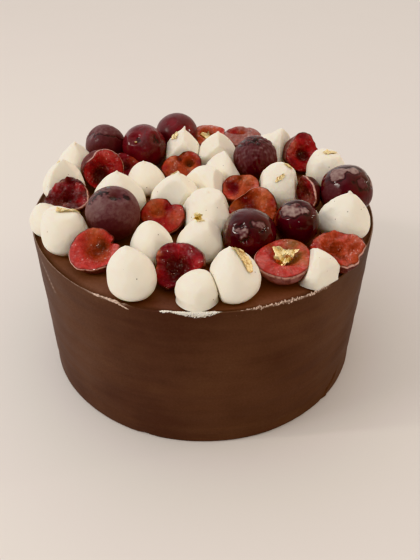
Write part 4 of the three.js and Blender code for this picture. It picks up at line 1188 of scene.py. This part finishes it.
def dark_chocolate_scraped(tree, settings):
    # Dark chocolate coating, poured and scraped level as it set: a dull satin brown with faint sideways
    # smears, cloudy where its fat has bloomed, glossier and paler on top, with painted light and shade
    # across the top, and pale on worn edges, whose crest also carries a painted highlight.
    colours = settings.colours
    place = add(tree, "ShaderNodeTexCoord").outputs["Object"]
    level = add(tree, "ShaderNodeMapping", inputs={"Vector": place, "Scale": (1, 1, 8)})
    smear = add(tree, "ShaderNodeTexNoise", inputs={
        "Vector": level, "Scale": 1 / settings.sizes.smear_length,
        "Detail": 5.0, "Roughness": 0.55, "Distortion": 0.3})
    # Clouds are about 34 mm across, as fat bloom spreads.
    cloud = add(tree, "ShaderNodeTexNoise", inputs={
        "Vector": place, "Scale": across(34), "Detail": 3.0, "Roughness": 0.5})
    mixed = add(tree, "ShaderNodeMath", TIMES_PLUS, {0: smear, 1: 0.6, 2: cloud})
    share = add(tree, "ShaderNodeMapRange", inputs={"Value": mixed, "From Min": 0.62, "From Max": 1.0})
    base = add(tree, "ShaderNodeMix", BLEND, {
        0: share, 6: opaque(colours.chocolate), 7: opaque(colours.chocolate_cloud)})
    # Cocoa grain and air bubbles under 0.5 mm are drawn at 0.9 mm so that they show.
    grain = add(tree, "ShaderNodeTexNoise", inputs={
        "Vector": place, "Scale": across(0.9), "Detail": 3.0, "Roughness": 0.6})
    speckle = add(tree, "ShaderNodeMapRange", inputs={
        "Value": grain, **SPREAD, "To Min": 0.9, "To Max": 1.08})
    grained = add(tree, "ShaderNodeVectorMath", SCALED, {0: base, "Scale": speckle})
    # The top is painted paler than the wall, with painted light towards the right and painted shade
    # about halfway to the left.
    top = add(tree, "ShaderNodeAttribute", {"attribute_name": "top"}).outputs["Fac"]
    top_paler = add(tree, "ShaderNodeMix", {**BLEND, "blend_type": "MULTIPLY"}, {
        0: top, 6: grained, 7: TOP_TINT})
    # Pale where the coat is worn, and along the raised edge's crest also as a painted highlight.
    wear_and_highlight = add(tree, "ShaderNodeAttribute", {"attribute_name": "wear_and_highlight"}).outputs["Fac"]
    # Chips along the edge are about 1 mm.
    chips = add(tree, "ShaderNodeTexNoise", inputs={
        "Vector": place, "Scale": across(1.1), "Detail": 4.0, "Roughness": 0.7})
    chipped = add(tree, "ShaderNodeMath", TIMES_PLUS, {0: chips, 1: 1.3, 2: -0.28})
    paled = add(tree, "ShaderNodeMath", TIMES_CLAMPED, {0: chipped, 1: wear_and_highlight})
    coloured = add(tree, "ShaderNodeMix", BLEND, {
        0: paled, 6: top_paler, 7: opaque(colours.chocolate_bloom_and_highlight)})
    dull = add(tree, "ShaderNodeMapRange", inputs={
        "Value": smear, **SPREAD, "To Min": 0.50, "To Max": 0.62})
    rough = add(tree, "ShaderNodeMix", {"data_type": "FLOAT"}, {0: top, 2: dull, 3: 0.36})
    relief = add(tree, "ShaderNodeMath", TIMES_PLUS, {0: grain, 1: 0.25, 2: smear})
    bump = add(tree, "ShaderNodeBump", inputs={"Height": relief, "Strength": 0.35, "Distance": 0.0005})
    return add(tree, "ShaderNodeBsdfPrincipled", inputs={
        "Base Color": coloured, "Roughness": rough, "IOR": 1.46,
        "Specular IOR Level": 0.2, "Normal": bump})


def vanilla_cream_piped(tree, settings):
    # Whipped vanilla cream, piped: off-white and matt, light travels a little way into it, with
    # scattered vanilla seeds and the small pits of burst air bubbles.
    colours, sizes = settings.colours, settings.sizes
    place = add(tree, "ShaderNodeTexCoord").outputs["Object"]
    mottle = add(tree, "ShaderNodeTexNoise", inputs={
        "Vector": place, "Scale": across(9), "Detail": 2.0, "Roughness": 0.5})
    tone = add(tree, "ShaderNodeMapRange", inputs={
        "Value": mottle, **SPREAD, "To Min": 0.965, "To Max": 1.0})
    tinted = add(tree, "ShaderNodeVectorMath", SCALED, {0: colours.cream, "Scale": tone})
    # Seeds are about 0.5 mm; one cell in sixteen has one.
    seed = scattered(
        tree, place, 1 / sizes.speck_spacing, chance=0.06, inner=0.1, outer=0.2, strength=0.85)
    coloured = add(tree, "ShaderNodeMix", BLEND, {0: seed, 6: tinted, 7: opaque(colours.vanilla)})
    # Bubble pits are about 1 mm apart, on a surface that is uneven over about 4 mm.
    pits = add(tree, "ShaderNodeTexNoise", inputs={
        "Vector": place, "Scale": across(1.2), "Detail": 3.0, "Roughness": 0.6})
    soft = add(tree, "ShaderNodeTexNoise", inputs={
        "Vector": place, "Scale": across(4.0), "Detail": 2.0, "Roughness": 0.5})
    relief = add(tree, "ShaderNodeMath", TIMES_PLUS, {0: pits, 1: 0.22, 2: soft})
    bump = add(tree, "ShaderNodeBump", inputs={"Height": relief, "Strength": 0.5, "Distance": 0.0006})
    return add(tree, "ShaderNodeBsdfPrincipled", inputs={
        "Base Color": coloured, "Roughness": 0.52, "IOR": 1.4,
        "Subsurface Weight": 0.35, "Subsurface Radius": (0.004, 0.003, 0.002),
        "Subsurface Scale": 0.6, "Normal": bump})


def cherry_skin_frosted(tree, settings):
    # Sweet cherry skin, frozen and half thawed: nearly black red and wet-glossy where it thawed,
    # dusty mauve where frost still clings, grey where it is a thick rime, and black where it melts,
    # with painted shade in its dents and the stem's dimple.
    colours = settings.colours
    place = add(tree, "ShaderNodeTexCoord").outputs["Object"]
    frost, shade, red = (
        add(tree, "ShaderNodeAttribute", {"attribute_name": name}).outputs["Fac"]
        for name in ("frost", "shade", "red")
    )
    # Frost grows in patches of about 2.6 mm, with finer grain in them.
    patches = add(tree, "ShaderNodeTexNoise", inputs={
        "Vector": place, "Scale": across(2.6), "Detail": 5.0, "Roughness": 0.65})
    uneven = add(tree, "ShaderNodeMapRange", inputs={
        "Value": patches, **SPREAD, "To Min": 0.72, "To Max": 1.2})
    kept = add(tree, "ShaderNodeMath", TIMES_CLAMPED, {0: frost, 1: uneven})
    # Skin colour wanders between black-red and wine over about 6 mm.
    drift = add(tree, "ShaderNodeTexNoise", inputs={
        "Vector": place, "Scale": across(6), "Detail": 2.0, "Roughness": 0.5})
    wander = add(tree, "ShaderNodeMapRange", inputs={
        "Value": drift, **SPREAD, "To Min": 0.7, "To Max": 1.5})
    wine = add(tree, "ShaderNodeMix", BLEND, {
        0: red, 6: opaque(colours.cherry), 7: opaque(colours.cherry_wine)})
    # Dark places darken the skin: wet thawed skin, and painted shade in the hollows.
    darker = add(tree, "ShaderNodeMapRange", inputs={"Value": shade, "To Min": 1.0, "To Max": 0.2})
    toned = add(tree, "ShaderNodeMath", TIMES, {0: wander, 1: darker})
    skin = add(tree, "ShaderNodeVectorMath", SCALED, {0: wine, "Scale": toned})
    filmed = add(tree, "ShaderNodeMix", BLEND, {0: kept, 6: skin, 7: opaque(colours.cherry_frost)})
    # Where the frost attribute passes 1 the film has grown to a thick rime.
    thick = add(tree, "ShaderNodeMath", TIMES, {0: frost, 1: uneven})
    rimed = add(tree, "ShaderNodeMapRange", inputs={"Value": thick, "From Min": 0.9, "From Max": 2.6})
    coloured = add(tree, "ShaderNodeMix", BLEND, {0: rimed, 6: filmed, 7: opaque(colours.rime)})
    rough = add(tree, "ShaderNodeMapRange", inputs={
        "Value": kept, "From Min": 0.0, "From Max": 0.6, "To Min": 0.1, "To Max": 0.6})
    coat = add(tree, "ShaderNodeMapRange", inputs={
        "Value": kept, "From Max": 0.7, "To Min": 0.5, "To Max": 0.03})
    # Frost stands up as fine needles, which catch light along the cherry's edge.
    sheen = add(tree, "ShaderNodeMath", TIMES, {0: kept, 1: 0.35})
    relief = add(tree, "ShaderNodeMath", TIMES, {0: patches, 1: kept})
    bump = add(tree, "ShaderNodeBump", inputs={"Height": relief, "Strength": 0.5, "Distance": 0.0005})
    return add(tree, "ShaderNodeBsdfPrincipled", inputs={
        "Base Color": coloured, "Roughness": rough, "IOR": 1.42,
        "Specular IOR Level": 0.3, "Coat Weight": coat, "Coat Roughness": 0.03,
        "Coat IOR": 1.5, "Sheen Weight": sheen,
        "Sheen Roughness": 0.5, "Sheen Tint": opaque(colours.rime), "Normal": bump})


def cherry_flesh_cut_wet(tree, settings):
    # Cut cherry flesh with its skin: juicy and slightly see-through, with fibres that run from the
    # hollow to the skin, wet in patches that carry painted highlights, darker deep in the hollow as
    # painted shade, and with a thin pale edge where the skin was cut.
    colours = settings.colours
    place = add(tree, "ShaderNodeTexCoord").outputs["Object"]
    flesh, edge, frost = (
        add(tree, "ShaderNodeAttribute", {"attribute_name": name}).outputs["Fac"]
        for name in ("flesh", "edge", "frost")
    )
    tint, grain = (
        add(tree, "ShaderNodeAttribute", {"attribute_name": name}).outputs["Vector"]
        for name in ("tint", "grain")
    )
    # The grain attribute is 10 long once round, so a scale of 1.6 draws fibres about 0.5 mm wide.
    fibres = add(tree, "ShaderNodeTexNoise", inputs={
        "Vector": grain, "Scale": 1.6, "Detail": 3.0, "Roughness": 0.65})
    fibre_tone = add(tree, "ShaderNodeMapRange", inputs={
        "Value": fibres, "From Min": 0.35, "From Max": 0.7, "To Min": 0.9, "To Max": 1.14})
    # Pulp is blotched over about 2 mm.
    blots = add(tree, "ShaderNodeTexNoise", inputs={
        "Vector": place, "Scale": across(1.7), "Detail": 5.0, "Roughness": 0.7})
    blot_tone = add(tree, "ShaderNodeMapRange", inputs={
        "Value": blots, **SPREAD, "To Min": 0.8, "To Max": 1.2})
    tone = add(tree, "ShaderNodeMath", TIMES, {0: fibre_tone, 1: blot_tone})
    pulp = add(tree, "ShaderNodeVectorMath", SCALED, {0: tint, "Scale": tone})
    # The skin outside, dull and pink where frosted.
    patches = add(tree, "ShaderNodeTexNoise", inputs={
        "Vector": place, "Scale": across(2.4), "Detail": 5.0, "Roughness": 0.65})
    uneven = add(tree, "ShaderNodeMapRange", inputs={
        "Value": patches, "From Min": 0.3, "From Max": 0.65, "To Min": 0.45, "To Max": 1.15})
    frosted = add(tree, "ShaderNodeMath", TIMES_CLAMPED, {0: frost, 1: uneven})
    skin = add(tree, "ShaderNodeMix", BLEND, {
        0: frosted, 6: opaque(colours.cherry), 7: opaque(colours.skin_frost)})
    split = add(tree, "ShaderNodeMix", BLEND, {0: flesh, 6: skin, 7: pulp})
    # Juice lies in patches of about 3 mm. Half of the 1 mm cells in them hold a bright speck,
    # a painted highlight that stands for light glinting off the juice.
    juice = add(tree, "ShaderNodeTexNoise", inputs={
        "Vector": place, "Scale": across(3.2), "Detail": 2.0, "Roughness": 0.5})
    pooled = add(tree, "ShaderNodeMapRange", inputs={"Value": juice, "From Min": 0.5, "From Max": 0.62})
    glint_specks = scattered(
        tree, place, across(1.0), chance=0.5, inner=0.08, outer=0.24, strength=1.0)
    caught = add(tree, "ShaderNodeMath", TIMES, {0: glint_specks, 1: pooled})
    glints = add(tree, "ShaderNodeMath", TIMES, {0: caught, 1: flesh})
    broken = add(tree, "ShaderNodeMapRange", inputs={
        "Value": blots, "From Min": 0.35, "From Max": 0.52, "To Min": 0.35, "To Max": 1.0})
    edge_share = add(tree, "ShaderNodeMath", TIMES_CLAMPED, {0: edge, 1: broken})
    coloured = add(tree, "ShaderNodeMix", BLEND, {0: edge_share, 6: split, 7: opaque(colours.pale_rim)})
    glinting = add(tree, "ShaderNodeMix", BLEND, {0: glints, 6: coloured, 7: opaque(colours.glint_highlight)})
    skin_rough = add(tree, "ShaderNodeMapRange", inputs={"Value": frosted, "To Min": 0.25, "To Max": 0.65})
    rough = add(tree, "ShaderNodeMix", {"data_type": "FLOAT"}, {0: flesh, 2: skin_rough, 3: 0.4})
    film = add(tree, "ShaderNodeMapRange", inputs={
        "Value": juice, "From Min": 0.42, "From Max": 0.58, "To Min": 0.15, "To Max": 1.0})
    wet = add(tree, "ShaderNodeMath", TIMES, {0: film, 1: flesh})
    relief = add(tree, "ShaderNodeMath", TIMES_PLUS, {0: fibres, 1: 0.6, 2: blots})
    bump = add(tree, "ShaderNodeBump", inputs={"Height": relief, "Strength": 0.8, "Distance": 0.0007})
    # Drops in the juice are about 2 mm across.
    drops = add(tree, "ShaderNodeTexNoise", inputs={
        "Vector": place, "Scale": across(2.2), "Detail": 1.0, "Roughness": 0.5})
    beads = add(tree, "ShaderNodeBump", inputs={"Height": drops, "Strength": 1.0, "Distance": 0.0026})
    return add(tree, "ShaderNodeBsdfPrincipled", inputs={
        "Base Color": glinting, "Roughness": rough, "IOR": 1.38,
        "Specular IOR Level": 0.15, "Subsurface Weight": 0.12,
        "Subsurface Radius": (0.003, 0.0008, 0.0004), "Subsurface Scale": 0.5,
        "Coat Weight": wet, "Coat Roughness": 0.05, "Coat IOR": 1.5,
        "Coat Normal": beads, "Normal": bump})


def gold_leaf_crumpled(tree, settings):
    # Edible gold leaf, beaten and crumpled: a bright warm metal broken into many small facets.
    colours = settings.colours
    place = add(tree, "ShaderNodeTexCoord").outputs["Object"]
    # Creases are about 0.9 mm apart, and finer wrinkles run between them. Each facet between
    # the creases is painted a little lighter or darker, as painted light on facets tilted their own way.
    cells = add(tree, "ShaderNodeTexVoronoi", inputs={"Vector": place, "Scale": across(0.9)})
    tone = add(tree, "ShaderNodeSeparateColor", inputs={0: cells.outputs["Color"]})
    bright = add(tree, "ShaderNodeMapRange", inputs={"Value": tone, "To Min": 0.72, "To Max": 1.08})
    leafed = add(tree, "ShaderNodeVectorMath", SCALED, {0: colours.gold, "Scale": bright})
    # Light that is caught in a fold comes out more orange.
    deep = add(tree, "ShaderNodeAttribute", {"attribute_name": "deep"}).outputs["Fac"]
    folded = add(tree, "ShaderNodeMix", BLEND, {0: deep, 6: leafed, 7: opaque(colours.gold_fold)})
    wrinkle = add(tree, "ShaderNodeTexNoise", inputs={
        "Vector": place, "Scale": across(0.7), "Detail": 3.0, "Roughness": 0.6})
    rough = add(tree, "ShaderNodeMapRange", inputs={
        "Value": wrinkle, **SPREAD, "To Min": 0.2, "To Max": 0.42})
    bump = add(tree, "ShaderNodeBump", inputs={"Height": wrinkle, "Strength": 0.4, "Distance": 0.0003})
    return add(tree, "ShaderNodeBsdfPrincipled", inputs={
        "Base Color": folded, "Metallic": 1.0, "Roughness": rough, "Normal": bump})


def studio_paper_rolled(tree, settings):
    # Seamless studio paper, rolled: even, matt and warm white, with a faint fibre.
    colours = settings.colours
    place = add(tree, "ShaderNodeTexCoord").outputs["Object"]
    fibre = add(tree, "ShaderNodeTexNoise", inputs={
        "Vector": place, "Scale": across(60), "Detail": 3.0, "Roughness": 0.5})
    tone = add(tree, "ShaderNodeMapRange", inputs={"Value": fibre, "To Min": 0.985, "To Max": 1.0})
    paper = add(tree, "ShaderNodeVectorMath", SCALED, {0: colours.floor, "Scale": tone})
    return add(tree, "ShaderNodeBsdfPrincipled", inputs={
        "Base Color": paper, "Roughness": 0.9, "Specular IOR Level": 0.1})


# ------------------------------------------------------------------ operators


class CAKE_OT_body(bpy.types.Operator):
    """Build the cake in its scraped chocolate coat"""

    bl_idname = "cake.body"
    bl_label = "Chocolate coat"

    def execute(self, context):
        points, faces = turned(coat_profile(), 600)
        wear_and_highlight, top = coat_marks(points)
        points = shape_coat(points)
        material = finish(dark_chocolate_scraped, context.scene.black_forest_cake)
        piece = mesh_object("chocolate_coat", points, faces, material, {"wear_and_highlight": wear_and_highlight, "top": top})
        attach(piece, "root")
        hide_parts("cake_body")
        return {"FINISHED"}


class CAKE_OT_rim_marks(bpy.types.Operator):
    """Lay the cream smear, the torn flake and the crumbs along the raised edge"""

    bl_idname = "cake.rim_marks"
    bl_label = "Marks on the edge"

    def execute(self, context):
        settings = context.scene.black_forest_cake
        for mark in RIM_MARKS:
            points, faces = rim_mark(mark)
            material = finish(dark_chocolate_scraped, settings)
            if mark["name"] == "cream_smear":
                material = finish(vanilla_cream_piped, settings)
            wear_and_highlight = np.full(len(points), float(mark["wear_and_highlight"]))
            piece = mesh_object(mark["name"], points, faces, material, {"wear_and_highlight": wear_and_highlight, "top": 0 * wear_and_highlight})
            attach(piece, "root")
        return {"FINISHED"}


def set_toppings(kind, prefix, material):
    """Make the pieces of one kind of topping, each in the place of its own node."""
    for name, topping in toppings().items():
        if topping["kind"] != kind:
            continue
        piece = mesh_object(
            f"{prefix}_{name}", topping["points"], topping["faces"], material, topping["attributes"]
        )
        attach(piece, "root")
        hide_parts(name)


class CAKE_OT_kisses(bpy.types.Operator):
    """Pipe the cream kisses"""

    bl_idname = "cake.kisses"
    bl_label = "Cream kisses"

    def execute(self, context):
        material = finish(vanilla_cream_piped, context.scene.black_forest_cake)
        set_toppings("kiss", "cream", material)
        return {"FINISHED"}


class CAKE_OT_cherries(bpy.types.Operator):
    """Set the whole cherries"""

    bl_idname = "cake.cherries"
    bl_label = "Whole cherries"

    def execute(self, context):
        material = finish(cherry_skin_frosted, context.scene.black_forest_cake)
        set_toppings("cherry", "dark", material)
        return {"FINISHED"}


class CAKE_OT_halves(bpy.types.Operator):
    """Set the pitted cherry halves"""

    bl_idname = "cake.halves"
    bl_label = "Cherry halves"

    def execute(self, context):
        material = finish(cherry_flesh_cut_wet, context.scene.black_forest_cake)
        set_toppings("half", "cut", material)
        return {"FINISHED"}


class CAKE_OT_gold_leaf(bpy.types.Operator):
    """Lay the scraps of gold leaf"""

    bl_idname = "cake.gold_leaf"
    bl_label = "Gold leaf"

    def execute(self, context):
        settings = context.scene.black_forest_cake
        material = finish(gold_leaf_crumpled, settings)
        thickness = settings.sizes.leaf_thickness / MM
        carried = toppings()
        for number, scrap in enumerate(LEAVES, 1):
            detail = np.random.default_rng([50, number])
            points, faces, marks = leaf_shape(scrap, carried[scrap["on"]], detail, thickness)
            piece = mesh_object(f"gold_scrap_{number:02d}", points, faces, material, marks)
            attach(piece, "root")
            if number <= CAD_SCRAPS:
                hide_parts(scrap["on"])
        return {"FINISHED"}


def add_lamp(name, way, distance, size, watts):
    """A warm white rectangle of light that looks at the cake from so far away."""
    data = bpy.data.lights.new(name, "AREA")
    data.shape = "RECTANGLE"
    data.size, data.size_y = size
    data.energy = watts
    data.color = linear(LAMP_WHITE)
    lamp = bpy.data.objects.new(name, data)
    lamp.location = LAMP_AIM + distance * Vector(heading(way))
    lamp.rotation_euler = (LAMP_AIM - lamp.location).to_track_quat("-Z", "Y").to_euler()
    bpy.context.scene.collection.objects.link(lamp)


def studio_room():
    """Walls that give off light, brighter at the sides, above and behind."""
    world = bpy.data.worlds.new("studio_walls")
    world.use_nodes = True
    tree = world.node_tree
    tree.nodes.clear()
    way = add(tree, "ShaderNodeTexCoord").outputs["Generated"]
    x, y, z = add(tree, "ShaderNodeSeparateXYZ", inputs={0: way}).outputs
    side = add(tree, "ShaderNodeMath", {"operation": "ABSOLUTE"}, {0: x})
    high = add(tree, "ShaderNodeMath", TIMES_PLUS, {0: z, 1: 0.9, 2: side})
    back = add(tree, "ShaderNodeMath", TIMES_PLUS, {0: y, 1: 0.75, 2: high})
    smooth = {"interpolation_type": "SMOOTHSTEP"}
    bright = add(tree, "ShaderNodeMapRange", smooth, {
        "Value": back, "From Min": -0.3, "From Max": 1.1, "To Min": 0.2, "To Max": 1.03})
    # Light that comes back from the room on the right is a little warmer.
    right = add(tree, "ShaderNodeMapRange", smooth, {"Value": x, "From Min": -0.3, "From Max": 0.9})
    colour = add(tree, "ShaderNodeMix", BLEND, {
        0: right, 6: opaque(linear(ROOM_WHITE)), 7: opaque(linear(ROOM_WARM))})
    glow = add(tree, "ShaderNodeBackground", inputs={"Color": colour, "Strength": bright})
    add(tree, "ShaderNodeOutputWorld", inputs={"Surface": glow})
    return world


def front_camera():
    """The camera, which looks down on the cake from the front."""
    lens = bpy.data.cameras.new("camera")
    lens.lens, lens.sensor_width = CAMERA_LENS, CAMERA_SENSOR
    lens.clip_start = 0.01
    camera = bpy.data.objects.new("camera", lens)
    pitch = Matrix.Rotation(math.radians(CAMERA_PITCH), 4, "X")
    roll = Matrix.Rotation(math.radians(CAMERA_ROLL), 4, "Z")
    camera.matrix_world = Matrix.Translation(CAMERA_PLACE) @ pitch @ roll
    bpy.context.scene.collection.objects.link(camera)
    return camera


class CAKE_OT_stage(bpy.types.Operator):
    """Make the floor, the lights and the camera"""

    bl_idname = "cake.stage"
    bl_label = "Stage"

    def execute(self, context):
        scene = context.scene
        line = np.linspace(-FLOOR_REACH, FLOOR_REACH, FLOOR_LINES) / MM
        x, y = (part.ravel() for part in np.meshgrid(line, line, indexing="ij"))
        faces = quads(np.arange(x.size).reshape(FLOOR_LINES, FLOOR_LINES))
        material = finish(studio_paper_rolled, scene.black_forest_cake)
        floor = mesh_object("floor", np.stack([x, y, 0 * x], -1), faces, material)
        # The softbox lights the cake; the narrow strips only put small highlights on what is wet.
        add_lamp("key_softbox", way=(203, 38), distance=0.88, size=(0.22, 0.3), watts=1.2)
        add_lamp("strip_left", way=(192, 36), distance=1.0, size=(0.04, 0.12), watts=1.2)
        add_lamp("strip_front", way=(275, 32), distance=1.0, size=(0.05, 0.08), watts=0.6)
        add_lamp("strip_right", way=(8, 24), distance=1.0, size=(0.04, 0.1), watts=0.35)
        scene.world = studio_room()
        scene.camera = front_camera()
        scene.view_settings.view_transform = "Khronos PBR Neutral"
        return {"FINISHED"}


class CAKE_PT_parts(bpy.types.Panel):
    """Lists the parts of the cake"""

    bl_idname = "CAKE_PT_parts"
    bl_label = "Black forest cake"
    bl_space_type = "VIEW_3D"
    bl_region_type = "UI"
    bl_category = "Cake"

    def draw(self, context):
        settings = context.scene.black_forest_cake
        for group in (settings.colours, settings.sizes):
            for key in group.bl_rna.properties.keys():
                if key not in {"rna_type", "name"}:
                    self.layout.prop(group, key)
        for operator in OPERATORS:
            self.layout.operator(operator.bl_idname)


OPERATORS = (
    CAKE_OT_body, CAKE_OT_rim_marks, CAKE_OT_kisses, CAKE_OT_cherries, CAKE_OT_halves,
    CAKE_OT_gold_leaf, CAKE_OT_stage,
)
CLASSES = (CakeColours, CakeSizes, CakeSettings, *OPERATORS, CAKE_PT_parts)


def register():
    for cls in CLASSES:
        bpy.utils.register_class(cls)
    bpy.types.Scene.black_forest_cake = bpy.props.PointerProperty(type=CakeSettings)


def unregister():
    del bpy.types.Scene.black_forest_cake
    for cls in reversed(CLASSES):
        bpy.utils.unregister_class(cls)


def main():
    register()
    bpy.ops.cake.body()
    bpy.ops.cake.rim_marks()
    bpy.ops.cake.kisses()
    bpy.ops.cake.cherries()
    bpy.ops.cake.halves()
    bpy.ops.cake.gold_leaf()
    bpy.ops.cake.stage()


if __name__ == "__main__":
    main()
